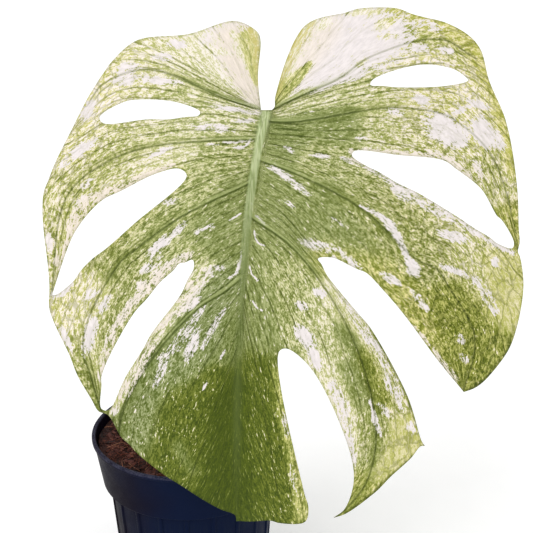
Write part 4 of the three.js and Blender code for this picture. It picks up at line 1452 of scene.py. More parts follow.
@dataclass(frozen=True)
class LeafBlade:
    """The fenestrated blade: a thin sheet with impressed veins, a raised midrib and quilting."""

    form: BladeForm
    step: float = 1.35
    edge_step: float = 1.15
    edge_clearance: float = 0.62
    clearance: float = 0.62
    jitter: float = 0.05
    curve_steps: int = 12
    vein_skip: int = 4
    batch: int = 3000
    left: float = -128.0
    right: float = 151.0
    low: float = -232.0
    high: float = 62.0
    midrib_rows: tuple[float, ...] = (0.0, 0.9, -0.9, 1.8, -1.8, 2.8, -2.8)
    vein_rows: tuple[float, ...] = (0.0, 0.9, -0.9)
    hook_rows: tuple[float, ...] = (0.0, 0.75, -0.75, 1.5, -1.5)
    thickness: float = 0.6
    groove: float = 0.35
    keel: float = 0.5
    margin_step: float = 0.35
    slope_step: float = 0.5
    halves_apart: float = 500.0
    halo_width: float = 3.2
    halo_depth: float = 0.18
    halo_calm: float = 0.5
    quilt: float = 0.16
    lanes: float = 4.0
    seed: int = 5

    def loops(self) -> list[Array]:
        """The outer edge and the edges of the holes, at even steps."""
        outer = [
            even_points(smooth_line(stroke, False, self.curve_steps), self.edge_step)
            for stroke in OUTER_STROKES
        ]
        outer.append(np.array([OUTER_STROKES[-1][-1]], float))
        loops = [np.vstack(outer)]
        for hole in HOLES:
            line = smooth_line(hole, True, self.curve_steps)
            loops.append(even_points(np.vstack([line, line[:1]]), self.edge_step))
        return loops

    def inside(self, flat: Array, loops: list[Array]) -> Array:
        """Whether points lie on the blade, within the outer edge and outside the holes."""
        start = np.vstack(loops)
        end = np.vstack([np.roll(loop, -1, axis=0) for loop in loops])
        rise = np.where(end[:, 1] == start[:, 1], 1e-9, end[:, 1] - start[:, 1])
        odd = []
        for batch in np.array_split(flat, 1 + len(flat) // self.batch):
            u, v = batch[:, 0:1], batch[:, 1:2]
            spans = (start[:, 1] > v) != (end[:, 1] > v)
            crossing = (end[:, 0] - start[:, 0]) * (v - start[:, 1]) / rise + start[:, 0]
            odd.append((spans & (u < crossing)).sum(1) % 2 == 1)
        return np.concatenate(odd)

    def rows_along(self, line: Array, offsets: Sequence[float]) -> Array:
        """Rows of points beside a line, so that its relief is meshed well."""
        centre = even_points(line, self.step)
        run = np.gradient(centre, axis=0)
        run /= np.linalg.norm(run, axis=1)[:, None]
        normal = np.stack([-run[:, 1], run[:, 0]], 1)
        return np.vstack([centre + normal * offset for offset in offsets])

    def thinned(self, flat: Array, fixed: Array, reach: float) -> Array:
        """Points that lie further than a reach from all fixed points."""
        tree = search_tree(fixed)
        keep = [tree.find((u, v, 0))[2] > reach for u, v in flat]
        return flat[np.array(keep, bool)]

    def lattice(self) -> Array:
        """Rows of points all over the blade's box, each a little out of place."""
        rows = []
        for row, v in enumerate(np.arange(self.low, self.high, self.step * math.sqrt(3) / 2)):
            us = np.arange(self.left + (row % 2) * self.step / 2, self.right, self.step)
            rows.append(np.stack([us, np.full(len(us), v)], 1))
        points = np.vstack(rows)
        shift = np.random.default_rng(self.seed).uniform(-self.jitter, self.jitter, points.shape)
        return points + shift

    def mesh_plan(self) -> tuple[Array, Array, list[Array]]:
        """Flat triangles of the blade.

        Returns:
            The points, the corners of each triangle, and the edge loops.
        """
        loops = self.loops()
        guides = [self.rows_along(self.form.midrib_line(2.0, -226.0, -1.0), self.midrib_rows)]
        guides += [self.rows_along(line[self.vein_skip :], self.vein_rows) for line in RAISED_VEINS]
        for _, hook in HOOKS:
            guides.append(self.rows_along(smooth_line(hook, False, 5)[:, :2], self.hook_rows))
        kept = np.vstack(loops)
        for guide in guides:
            clear = self.thinned(guide, kept, self.edge_clearance)
            kept = np.vstack([kept, clear[self.inside(clear, loops)]])
        lattice = self.lattice()
        reach = self.clearance * self.step
        lattice = self.thinned(lattice[self.inside(lattice, loops)], kept, reach)
        flat = np.vstack([kept, lattice])
        bounds, start = [], 0
        for loop in loops:
            count = len(loop)
            bounds += [(start + i, start + (i + 1) % count) for i in range(count)]
            start += count
        found = delaunay_2d_cdt([Vector(p) for p in flat], bounds, [], 0, TINY, False)
        if len(found[0]) != len(flat):
            LOG.warning("the blade's mesh has %d points for %d", len(found[0]), len(flat))
        flat = np.array([tuple(p) for p in found[0]])
        corners = np.array(found[2])
        return flat, corners[self.inside(flat[corners].mean(1), loops)], loops

    def vein_sides(self, flat: Array, aside: Array) -> Array:
        """Distance of points from the nearest side vein, above nought on its upper side."""
        found = [near_line(flat, line) for line in RAISED_VEINS]
        distance = np.stack([d for d, *_ in found])
        above = np.stack([side for _, _, side, _ in found]) * np.sign(aside)
        nearest, rows = distance.argmin(0), np.arange(len(flat))
        return distance[nearest, rows] * above[nearest, rows]

    def fields(self, flat: Array, loops: list[Array]) -> dict[str, Array]:
        """Everything that the relief and the finish need to know at each point."""
        v = flat[:, 1]
        aside = flat[:, 0] - self.form.midrib_at(v)
        out = np.abs(aside)
        closed = [np.vstack([loop, loop[:1]]) for loop in loops]
        dense = np.vstack([even_points(loop, self.margin_step) for loop in closed])
        tree = search_tree(dense)
        margin = np.array([tree.find((u, v, 0))[2] for u, v in flat])
        vein_side = self.vein_sides(flat, aside)
        level, contrast, blue, flecks = washed(flat).T
        white = np.maximum(ellipse_cover(flat, PATCHES), stroke_cover(flat, STREAKS + HOOKS))
        white = white - ellipse_cover(flat, ISLANDS) - stroke_cover(flat, ISLAND_STREAKS)
        # Deeper green along the side veins, where the tone isn't pale and the margin isn't near.
        halo = np.exp(-((vein_side / self.halo_width) ** 2)) * eased(15, 50, out)
        halo = halo * eased(0.95, 0.6, level) * eased(112, 75, out)
        fade = eased(-8.0, -190.0, v)
        share = out / (self.form.midrib_half(v) * 1.12)
        lower = eased(-60, -120, v) * eased(-222, -170, v)
        glow = 0.34 * eased(3.8, 0.6, out) * lower
        return {
            "aside": aside,
            "margin": margin,
            "vein": np.clip(vein_side, -6, 6),
            "near": eased(62, 8, out),
            "close": eased(5.6, 4.0, np.abs(vein_side)),
            "white": np.clip(white, -0.3, 1.2),
            "level": level - self.halo_depth * halo,
            "contrast": contrast * (1 - self.halo_calm * halo),
            # Blueness: above nought a painted bluish sheen, below nought an olive cast.
            "blue": blue,
            "flecks": flecks,
            "gold": np.clip(stroke_cover(flat, GOLD_EDGES), 0, 1),
            "rose": np.clip(stroke_cover(flat, ROSE_EDGES), 0, 1),
            "outer": eased(35, 100, out),
            # Dark line round every margin, and painted shade along the rims that droop away.
            "edge": np.maximum(0.5 * eased(0.7, 0.1, margin), stroke_cover(flat, RIM_SHADE_STROKES)),
            "midrib": np.maximum(eased(1.2, 0.8, share) * (0.95 - 0.8 * fade), glow),
            "down": eased(0.0, -120.0, v),
            # Painted shade in the creases beside the midrib, weaker toward the tip.
            "midrib_edge_shade": eased(0.35, 0.0, np.abs(share - 1.2)) * (1 - 0.6 * fade),
        }

    def relief(self, flat: Array, held: dict) -> tuple[Array, Array]:
        """Heights of the face and of the back over the middle surface."""
        aside, margin = np.abs(held["aside"]), held["margin"]
        radius = self.form.midrib_half(flat[:, 1])
        share = np.clip(aside / (1.35 * radius), 0, 1)
        rise = (0.55 * radius + 0.12) * np.cos(share * math.pi / 2) ** 2
        rise *= eased(1.0, -5.0, flat[:, 1])
        open_blade = eased(0.5, 4.0, margin) * eased(3.0, 12.0, aside)
        quilt = self.quilt * (np.abs(np.sin(math.pi * held["lane"])) - 0.6) * open_blade
        clear = eased(2.0, 7.0, aside) * eased(0.2, 2.5, margin)
        groove = self.groove * np.exp(-((held["vein"] / 0.9) ** 2)) * clear
        keel = self.keel * np.exp(-(held["vein"] ** 2)) * clear * eased(130, 20, aside)
        half = self.thickness / 2 * (0.55 + 0.45 * eased(0.0, 1.2, margin))
        return half + rise + quilt - groove, half - quilt + keel

    def sheet(self, flat: Array, front: Array, back: Array) -> Array:
        """Points of the face, then of the back, each set off square to the middle surface."""
        form, delta = self.form, self.slope_step
        height = form.height(flat)
        slopes = [(form.height(flat + way) - height) / delta for way in ((delta, 0), (0, delta))]
        steep = np.sqrt(1 + slopes[0] ** 2 + slopes[1] ** 2)
        lean = np.stack(slopes, 1) / steep[:, None]
        return np.vstack([
            form.place(flat - lean * front[:, None], height + front / steep),
            form.place(flat + lean * back[:, None], height - back / steep),
        ])

    def build(self) -> list[Piece]:
        """Builds and dresses the blade."""
        flat, corners, loops = self.mesh_plan()
        held = self.fields(flat, loops)
        run = {}
        for half in Half:
            own = held["aside"] * half.value >= 0
            order, across, along, gap = VeinField(half, self.form).measure(flat, own)
            run[half] = np.stack([across, along], 1)
            held["lane"] = np.where(own, order * self.lanes, held.get("lane", 0))
            held["gap"] = np.where(own, gap, held.get("gap", 0))
        points = self.sheet(flat, *self.relief(flat, held))
        count = len(flat)
        # Each side of a triangle that no other triangle shares is a place on the rim.
        edges: dict[tuple[int, int], bool] = {}
        for a, b, c in corners.tolist():
            for pair in ((a, b), (b, c), (c, a)):
                if not edges.pop(pair[::-1], False):
                    edges[pair] = True
        rim = [(b, a, a + count, b + count) for a, b in edges]
        triangles = [tuple(row) for row in corners.tolist()]
        underside = [(c + count, b + count, a + count) for a, b, c in triangles]
        blade = make_piece("leaf_blade", points, triangles + underside + rim)
        self.map_veins(blade.data, flat, corners, run, len(rim))
        self.dress(blade, held, len(corners), len(rim), count)
        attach(blade, "root")
        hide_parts("leaf")
        return [blade]

    def map_veins(
        self, mesh: bpy.types.Mesh, flat: Array, corners: Array, run: dict, rim_count: int
    ) -> None:
        """Lays the way across and along the veins on the faces, the two halves far apart."""
        middle = flat[corners].mean(1)
        right = (middle[:, 0] > self.form.midrib_at(middle[:, 1]))[:, None, None]
        shift = np.array([self.halves_apart, 0.0])
        maps = np.where(right, run[Half.RIGHT][corners] + shift, run[Half.LEFT][corners])
        rim = np.zeros((rim_count * 4, 2))
        rows = np.vstack([maps.reshape(-1, 2), maps[:, ::-1].reshape(-1, 2), rim])
        layer = mesh.uv_layers.new(name="veins")
        layer.data.foreach_set("uv", (rows / MAP_SIDE).astype(np.float32).ravel())

    def dress(self, blade: Piece, held: dict, triangles: int, rim: int, points: int) -> None:
        """Stores the markings, gives face and back their finish, and creases the rim.

        Args:
            blade: The blade.
            held: Values at each point of one side.
            triangles: Triangles on each side.
            rim: Faces of the rim.
            points: Points on each side.
        """
        for name, values in held.items():
            if name not in ("aside", "margin"):
                store(blade, name, np.tile(values, 2))
        mesh = blade.data
        for finish in (FACE_FINISH, BACK_FINISH):
            mesh.materials.append(finish.make())
        mesh.polygons.foreach_set("material_index", [0] * triangles + [1] * (triangles + rim))
        rim_edges = {tuple(sorted(p)) for f in mesh.polygons[2 * triangles :] for p in f.edge_keys}
        sharp = [
            (a, b) in rim_edges and abs(a - b) != points
            for a, b in (sorted(edge.vertices) for edge in mesh.edges)
        ]
        mesh.edges.foreach_set("use_edge_sharp", sharp)


@dataclass(frozen=True)
class StalkSkin:
    """Pale green stalk, streaked lengthwise with cream and dark green."""

    green: Colour = tint("7d9052")
    deep: Colour = tint("56702f")
    cream: Colour = tint("dcdcb4")
    shine: float = 0.4

    def make(self) -> Material:
        """Builds the material."""
        coat = Coat("stalk_skin")
        length = coat.add("ShaderNodeUVMap", uv_map="stalk").outputs[0]
        streak = coat.streaks(length, 0.035, 0.42, 0.55)
        broad = coat.streaks(length, 0.16, 0.9, 0.4)
        mask, grain = coat.grain(0.0007, 0.3)
        colour = coat.blend(coat.step(streak, 0.4, 0.62), self.green, self.deep)
        cream = coat.total((streak, -0.8), (broad, 1.4), (grain, 0.3))
        colour = coat.blend(coat.step(cream, 0.52, 0.6), colour, self.cream)
        rough = coat.step(mask, 0.0, 1.0, (0.4, 0.52))
        return coat.finished(colour, rough, self.shine, streak, 0.0002, 0.7)


@dataclass(frozen=True)
class LeafStalk:
    """Petiole with its clasping foot, the bend behind the sinus, and the keel of the midrib."""

    form: BladeForm
    sides: int = 28
    bend_reach: float = 4.2
    bend_radius: float = 3.1
    bend_steps: int = 14
    keel_steps: int = 90

    def stations(self) -> Array:
        """Centres and radii from the foot to the midrib's end."""
        form = self.form
        lower = smooth_line(PETIOLE, False, 8)
        centre = -form.midrib_sink - self.bend_reach
        turn = math.pi * np.arange(self.bend_steps + 1) / self.bend_steps
        v = form.midrib_top + self.bend_reach * np.sin(turn)
        w = centre - self.bend_reach * np.cos(turn)
        bend = form.place(np.stack([form.midrib_at(v), v], 1), w)
        bend = np.column_stack([bend, np.linspace(self.bend_radius, form.midrib_radius, len(turn))])
        share = np.arange(1, self.keel_steps + 1) / self.keel_steps
        v = form.midrib_top + (form.midrib_end - form.midrib_top) * share
        flat = np.stack([form.midrib_at(v), v], 1)
        radii = form.midrib_half(v)
        keel = form.place(flat, form.height(flat) - form.midrib_sink * radii)
        return np.vstack([lower, bend, np.column_stack([keel, radii])])

    def build(self) -> list[Piece]:
        """Builds and dresses the stalk."""
        points, faces = swept_rod(self.stations(), self.sides)
        stalk = make_piece("leaf_stalk", points, faces)
        rings = len(points) // self.sides
        lengths = lengths_along(points[: rings * self.sides : self.sides])
        uv = []
        for face in faces:
            wraps = len(face) == 4 and face[1] % self.sides == 0
            for corner in face:
                row, side = divmod(corner, self.sides)
                around = self.sides if wraps and side == 0 else side
                uv.append((around / self.sides, lengths[min(row, rings - 1)] / MAP_SIDE))
        layer = stalk.data.uv_layers.new(name="stalk")
        layer.data.foreach_set("uv", np.array(uv, np.float32).ravel())
        stalk.data.materials.append(StalkSkin().make())
        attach(stalk, "root")
        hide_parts("leaf")
        return [stalk]


# The studio.


@dataclass(frozen=True)
class Viewpoint:
    """Camera that stands where the photograph was taken."""

    place: tuple[float, float, float] = (48.3, -543.7, 408.1)
    down: float = math.radians(19.5)
    roll: float = math.radians(-0.5)
    focal_pixels: float = 980.0
    sensor: float = 36.0
    nearest: float = 0.05

    def set_up(self) -> None:
        """Makes the camera and hands it to the scene."""
        data = bpy.data.cameras.new("photo_camera")
        data.sensor_width = self.sensor
        data.lens = self.sensor * self.focal_pixels / PHOTO_SIDE
        data.clip_start = self.nearest
        camera = bpy.data.objects.new("photo_camera", data)
        ahead = Vector((0, math.cos(self.down), -math.sin(self.down)))
        side = Vector((1, 0, 0))
        up = side.cross(ahead)
        right = side * math.cos(self.roll) + up * math.sin(self.roll)
        top = up * math.cos(self.roll) - side * math.sin(self.roll)
        rows = zip(right, top, -ahead, (c * MM for c in self.place))
        camera.matrix_world = Matrix((*rows, (0, 0, 0, 1)))
        bpy.context.scene.collection.objects.link(camera)
        bpy.context.scene.camera = camera


@dataclass(frozen=True)
class Softbox:
    """A broad, distant light that points at the plant."""

    name: str
    place: tuple[float, float, float]
    spread: float
    power: float
    aim: tuple[float, float, float] = (0.03, 0.0, 0.2)

    def hang(self) -> None:
        """Adds the light to the scene."""
        data = bpy.data.lights.new(self.name, "SUN")
        data.angle = math.radians(self.spread)
        data.energy = self.power
        light = bpy.data.objects.new(self.name, data)
        light.location = self.place
        way = Vector(self.aim) - Vector(self.place)
        light.rotation_euler = way.to_track_quat("-Z", "Y").to_euler()
        bpy.context.scene.collection.objects.link(light)


@dataclass(frozen=True)
class Studio:
    """Plain pale floor under soft white light."""

    floor_side: float = 24000.0
    floor_drop: float = 0.1
    floor_tone: Colour = tint("fbfbfb")
    fibre_tone: Colour = tint("f9f9f9")
    floor_shine: float = 0.1
    floor_glow: float = 0.15
    sky_tone: Colour = (1.0, 1.0, 1.0, 1.0)
    sky_strength: float = 0.86
    key: Softbox = Softbox("key_softbox", (-0.9, -1.3, 2.0), 40.0, 0.8)

    def paper(self) -> Material:
        """Finish of the floor."""
        coat = Coat("pale_paper")
        fibre = coat.noise(coat.place, 60.0)
        coat.feed(coat.shader, {
            "Base Color": coat.blend(coat.step(fibre, 0.3, 0.7), self.floor_tone, self.fibre_tone),
            "Roughness": coat.step(fibre, 0.0, 1.0, (0.85, 0.95)),
            "Specular IOR Level": self.floor_shine,
            "Emission Color": self.sky_tone,
            "Emission Strength": self.floor_glow,
        })
        return coat.material

    def build(self) -> None:
        """Makes the floor, the light and the white surroundings."""
        half = self.floor_side / 2
        ways = ((-1, -1), (1, -1), (1, 1), (-1, 1))
        corners = [(x * half, y * half, -self.floor_drop) for x, y in ways]
        floor = make_piece("studio_floor", np.array(corners), [(0, 1, 2, 3)], smooth=False)
        floor.data.materials.append(self.paper())
        self.key.hang()
        world = bpy.data.worlds.new("white_room")
        world.use_nodes = True
        background = world.node_tree.nodes["Background"]
        background.inputs["Color"].default_value = self.sky_tone
        background.inputs["Strength"].default_value = self.sky_strength
        scene = bpy.context.scene
        scene.world = world
        scene.view_settings.view_transform = "Standard"
        scene.view_settings.look = "None"


# Drawing of the plant, in millimetres.

# Stations of the stem, the roots and the petiole: x, y, z and radius.
STEM = (
    (-3, -1, 54, 4.5), (-3, -1, 56, 6.4), (-2.6, -0.8, 64, 6.8), (-2.3, -0.6, 68, 7.8),
    (-2, -0.4, 72, 6.7), (-1.2, 0, 82, 6.8), (-0.9, 0.2, 86, 7.7), (-0.6, 0.4, 90, 6.7),
    (0.2, 0.8, 99, 6.6), (0.5, 1, 102.5, 7.5), (0.8, 1.1, 106, 6.5), (1.6, 1.5, 114, 6),
    (2, 1.7, 119, 4.8), (2.3, 1.9, 122, 2.6),
)

ROOTS = (
    (
        (-2, 0, 102, 2), (-12, -7, 107, 1.9), (-19, -11.5, 109, 1.7), (-25, -15, 105.5, 1.6),
        (-28, -18, 97, 1.5), (-29, -20, 84, 1.2), (-27, -23, 70, 0.8),
    ),
    (
        (-2, 0, 86, 2), (8, 5, 84, 1.9), (19, 10, 77, 1.7), (28, 14, 62, 1.5), (31, 14, 44, 1.3),
        (27, 10, 27, 1), (17, 4, 17, 0.8),
    ),
    (
        (-2, -1, 68, 2), (-10, 5, 63, 1.9), (-19, 13, 54, 1.7), (-27, 18, 40, 1.4),
        (-27, 14, 24, 1.1), (-20, 5, 14, 0.8),
    ),
    (
        (-3, -1, 60, 2), (1, -9, 54, 1.9), (6, -19, 45, 1.7), (8, -28, 31, 1.4),
        (3, -31, 18, 1.1), (-9, -29, 11, 0.8),
    ),
    (
        (-3, -1, 58, 2), (-2, 1, 48, 1.8), (3, 6, 36, 1.6), (4, 15, 25, 1.3), (-2, 25, 16, 0.9),
    ),
)

PETIOLE = (
    (3.4, 2.6, 111.2, 6.2), (4, 2.8, 113, 7.9), (5, 3.2, 119.5, 7.9), (7.2, 4, 127, 6.5),
    (10.4, 4.8, 138, 5), (14.8, 5.8, 151, 4), (21.5, 6.8, 170, 3.6), (29, 7.2, 191, 3.4),
    (36.6, 6.8, 215, 3.3), (42.8, 5.4, 238, 3.2), (46.8, 3.4, 260, 3.2), (48.6, 1, 280, 3.3),
    (49, -1.2, 293, 3.4),
)

# Outer edge of the blade from corner to corner, anticlockwise as the face is seen: u to the
# right and v up, from the sinus.
LEFT_EDGE = (
    (-3, 0.5), (-4.5, 19), (-3, 41), (-5, 45.5), (-16.5, 50.5), (-42, 42.5), (-72, 41),
    (-85, 31), (-91, 23), (-102.5, 5), (-116.5, -22), (-122, -36.5), (-124.5, -43.5),
    (-125, -60.5), (-121.5, -95), (-121.5, -109), (-109.5, -134.5), (-105.5, -144),
    (-97.5, -157), (-93.5, -164), (-88.5, -166), (-81.5, -179), (-77.5, -183), (-73, -188.5),
    (-58.5, -200), (-49, -206), (-27.5, -221), (-19.5, -225), (-19, -228.5),
)

APEX_AND_INNER_SLIT = (
    (-19, -228.5), (-12, -228.5), (0, -227), (5.5, -228.5), (19.5, -228.5), (21.5, -220),
    (19, -210.5), (5.5, -132), (9.5, -130), (19.5, -137), (30, -152.5), (45, -190), (47, -207),
    (42, -222.5), (36, -227),
)

LOWER_RIGHT_TIP = (
    (36, -227), (43, -225), (59.5, -213), (68, -204), (79.5, -193.5), (85, -187), (87.5, -187),
)

OUTER_SLIT = (
    (87.5, -187), (85.5, -184), (77, -158), (55.5, -119), (49.5, -112), (32, -90.5), (29, -84.5),
    (27, -81.5), (35, -81), (48, -87), (54, -89.5), (61.5, -97), (75, -112.5), (95, -139),
    (110, -157),
)

RIGHT_EDGE = (
    (110, -157), (117, -155), (123.5, -151), (137.5, -137), (142, -129.5), (146.5, -114.5),
    (148, -96.5), (145, -81), (143.5, -78), (144.5, -72.5), (144, -66), (143.5, -42),
    (137, -2.5), (127.5, 21), (122.5, 37.5), (116, 44.5), (101, 51), (90, 53), (81.5, 55),
    (73.5, 58), (52, 57.5), (44.5, 55), (21.5, 47), (5, 8), (4.5, 2), (3, 0.5),
)

OUTER_STROKES = (LEFT_EDGE, APEX_AND_INNER_SLIT, LOWER_RIGHT_TIP, OUTER_SLIT, RIGHT_EDGE)

# Slits closed at the margin, and the small holes beside the top of the midrib.

UPPER_LEFT_SLIT = (
    (-120, -100), (-119.5, -98.5), (-107, -66.5), (-91, -48.5), (-80.5, -43.5), (-61, -34.5),
    (-47.5, -32), (-43.5, -36), (-72.5, -61.5), (-88, -74.5), (-96, -80), (-103, -86.5),
    (-107.5, -92.5), (-117.5, -100),
)

LOWER_LEFT_SLIT = (
    (-92, -162.5), (-91.5, -149.5), (-91.5, -145), (-86.5, -132.5), (-73, -110), (-66, -102.5),
    (-58.5, -93.5), (-51, -87), (-48, -83.5), (-45, -83), (-40.5, -81.5), (-40, -86),
    (-43.5, -92.5), (-47, -100), (-63.5, -121.5), (-68, -129.5), (-78, -145), (-88, -163.5),
)

RIGHT_SLIT = (
    (46.5, -25.5), (47.5, -23), (72, -24.5), (99, -27), (106, -31.5), (121.5, -43),
    (130.5, -57.5), (133.5, -60), (141, -73), (140, -76), (130, -73), (126, -70), (117, -65),
    (106.5, -58.5), (83.5, -45.5), (71.5, -40), (62, -34.5), (54.5, -31),
)

LEFT_EYE = (
    (-93, -1.5), (-79, 6.5), (-69, 7.5), (-49.5, 5), (-36, -1), (-37, -3), (-44, -3.5),
    (-53.5, -4.5), (-65, -4), (-90.5, -5),
)

RIGHT_EYE = (
    (57, 13.5), (58.5, 16.5), (86.5, 26), (106, 25), (113.5, 21), (115, 19.5), (99.5, 15),
    (72, 12.5), (64.5, 13),
)

HOLES = (UPPER_LEFT_SLIT, LOWER_LEFT_SLIT, RIGHT_SLIT, LEFT_EYE, RIGHT_EYE)

# Main side veins from the midrib to the margin, four on each half.
SIDE_VEINS = (
    ((-5, 2), (-23, 7), (-66, 24), (-91, 17), (-99, 7)),
    ((-8, -15), (-66, -20), (-90, -28), (-108, -42), (-116, -61), (-120, -97)),
    (
        (-10, -39), (-47, -58), (-71, -75), (-80, -82), (-99, -114), (-102, -132), (-98, -143),
        (-92, -164),
    ),
    ((-15, -91), (-24, -98), (-38, -107), (-62, -133), (-80, -164), (-83, -177)),
    ((4, 2), (41, 18), (55, 28), (98, 41), (119, 32)),
    ((2, -5), (17, -6), (69, 1), (94, 0), (104, -3), (124, -19), (135, -40), (142, -67)),
    (
        (-5, -26), (12, -33), (52, -55), (83, -83), (93, -87), (102, -99), (116, -121),
        (117, -134), (110, -156),
    ),
    ((-11, -56), (15, -76), (45, -123), (59, -174), (55, -205), (46, -219), (37, -227)),
)

RAISED_VEINS = [smooth_line(vein, False, 5) for vein in SIDE_VEINS]

# Lines that the streaks follow on each half, from the sinus edge down: the main side veins,
# and the lines midway between them, along the slits.
FIELD_VEINS = {
    Half.LEFT: (
        ((-3, 1), (-4, 20), (-5, 36), (-12, 54)),
        ((-4, 1), (-22, 12), (-44, 27), (-64, 39)),
        SIDE_VEINS[0],
        ((-5, -5), (-21, -1), (-36, 1), (-64, 1), (-90, 0), (-116, -13)),
        SIDE_VEINS[1],
        ((-8, -29), (-25, -31), (-43, -34), (-75, -48), (-98, -67), (-116, -97)),
        SIDE_VEINS[2],
        ((-13, -67), (-26, -73), (-40, -83), (-64, -106), (-81, -131), (-92, -162)),
        SIDE_VEINS[3],
        ((-17, -128), (-35, -169), (-50, -205)),
    ),
    Half.RIGHT: (
        ((3, 1), (5, 12), (15, 38), (24, 56)),
        SIDE_VEINS[4],
        ((3, -1), (27, 7), (57, 15), (85, 20), (115, 20), (134, 6)),
        SIDE_VEINS[5],
        ((-1, -16), (21, -20), (48, -24), (85, -33), (114, -49), (141, -75)),
        SIDE_VEINS[6],
        ((-8, -42), (11, -57), (29, -79), (56, -104), (84, -130), (111, -157)),
        SIDE_VEINS[7],
        ((-13, -77), (-3, -101), (7, -131), (18, -160), (30, -195), (29, -228)),
        ((-15, -100), (-4, -142), (6, -191), (12, -218)),
    ),
}

# White patches: centre u and v, half length, half width, turn in degrees, strength.
PATCHES = (
    (-15, 20, 20.5, 5, -58, 1), (-19, 42, 13.5, 7, 12, 0.72), (-49, 37, 5, 2.5, -3, 0.9),
    (-57, 30, 5, 2, -9, 0.9), (-77, 25, 6.5, 3, 6, 1), (-77, 19, 8.5, 2.5, 9, 0.9),
    (-58, 17, 11, 2, -8, 0.85), (-100, 3, 3.5, 5.5, -31, 1), (-103, -19, 8.5, 3, 28, 1),
    (-112, -27, 5.5, 2.5, 45, 0.6), (-29, -10, 10, 2, -7, 0.75), (-17, 0, 12, 1, -8, 0.85),
    (-12, -6, 5, 1, 3, 0.8), (-20, -18, 12, 0.5, 7, 0.85), (-58, -23, 6.5, 1.5, 23, 0.7),
    (-99, -39, 4, 1.5, 39, 0.7), (-121, -71, 4.5, 2, -81, 0.9), (-117, -82, 4, 2, -69, 0.9),
    (-59, -74, 7, 2.5, 44, 1), (-48, -65, 5.5, 1.5, 44, 0.8), (-37, -66, 3, 1, 34, 0.8),
    (-32, -64, 5, 1, 20, 0.8), (-52, -50, 4.5, 1.5, 14, 0.55),
    (-63, -84, 7, 2.5, 39, 0.55), (-114, -97, 7, 3, 34, 1), (-112, -124, 6.5, 2, -60, 1),
    (-98, -122, 10, 3, -106, 0.95), (-90, -106, 5.5, 2, 59, 0.75), (-97, -100, 4, 2.5, 38, 0.9),
    (-69, -95, 3.5, 2, 49, 0.85), (-41, -127, 7.5, 2.5, -113, 0.85), (-42, -105, 5.5, 2.5, 34, 0.9),
    (-25, -133, 2.5, 0.6, 59, 0.8), (-35, -150, 2.2, 0.6, 59, 0.72), (-57, -134, 4, 2, 49, 0.5),
    (-64, -127, 4, 2, 49, 0.55), (-78, -150, 4.5, 2, 59, 0.6), (-84, -163, 3.5, 1.5, 59, 0.8),
    (9, -172, 6.5, 1.5, -81, 0.55),
    (13, -202, 8, 1.5, -81, 0.45), (36, 30, 32, 13, 51, 1.12), (60, 38, 19, 13, 31, 1.1),
    (87, 49, 12, 2.5, -11, 0.75), (47, 18, 10, 5, 21, 1), (86, 35, 5.5, 2, 4, 1),
    (100, 35, 5.5, 1.5, -6, 0.95), (86, 6, 5, 2.5, -16, 0.9), (119, 6, 6.5, 2, -14, 0.95),
    (110, 2, 5.5, 1.5, 22, 0.95), (101, -10, 12.5, 6.5, -23, 1.1), (123, -11, 8.5, 6.5, -49, 1.1),
    (133, -16, 4.5, 2.5, -58, 0.8), (119, -32, 6, 2.5, -56, 0.75), (48, -26, 4.5, 2, -60, 0.75),
    (133, -75, 7.5, 2, -29, 1.05), (74, -46, 6.5, 2.5, -37, 0.8), (75, -78, 4.5, 1.6, -59, 0.8),
    (80, -87, 5.5, 3, -57, 1.0), (101, -69, 6, 2.5, -19, 0.85), (9, -36, 10.5, 1.7, -34, 0.7),
    (29, -75, 11, 2.5, -15, 0.6),
    (20, -124, 6.5, 3.5, -46, 0.95), (25, -135, 6, 2.5, -70, 1.05), (18, -107, 3.5, 2, -21, 0.85),
    (28, -100, 3.5, 2, -30, 1), (57, -128, 5, 2, -45, 0.8), (66, -151, 5, 2, -70, 0.7),
    (58, -169, 9, 1.6, -72, 0.74), (80, -176, 3.5, 2.5, -69, 0.8), (63, -165, 4.5, 2, -50, 0.6),
    (67, -93, 6, 2, -30, 0.8), (106, -70, 7, 2.5, -14, 0.8), (105, -89, 8, 1.5, -21, 0.85),
    (129, -84, 2.5, 2, -56, 0.9), (108, -127, 3.5, 2, -49, 0.64), (110, -138, 3, 2, -50, 0.52),
    (62, -34, 4.5, 1.5, -29, 0.5), (18, -44, 5.5, 1, -32, 0.7), (37, -61, 5.5, 1, -35, 0.5),
    (12, -52, 4.5, 1, -33, 0.5), (45, -83, 7.5, 2, -35, 0.65), (84, -105, 7, 2, -49, 0.6),
    (91, -2, 4, 1.5, -6, 0.7), (71, -1, 5, 1.5, -5, 0.7), (47, 5, 7.5, 1.5, 8, 0.6),
    (29, -26, 5, 1.4, -4, 0.72), (12, -22, 3, 1, -35, 0.8), (44, -28, 4, 1.2, -20, 0.65),
    (52, -16, 3.5, 1.2, -10, 0.6),
)

# Green islands within the white, in the same form.
ISLANDS = (
    (20, 19, 9, 1.5, 52, 0.95), (65, 48, 5, 3, 21, 1.1), (68, 41, 5, 2.5, 0, 0.7),
    (53, 55, 7, 1.5, 6, 0.9), (33, 48, 4.5, 1.5, 36, 0.7), (53, 27, 3.5, 1, 36, 0.9),
    (18, 8, 10.5, 1.5, 26, 0.8), (-24, 32, 5.5, 1.5, -14, 0.7), (-14, 40, 6.5, 2, -28, 0.6),
    (-7, 35, 7, 1.5, -81, 0.7),
)

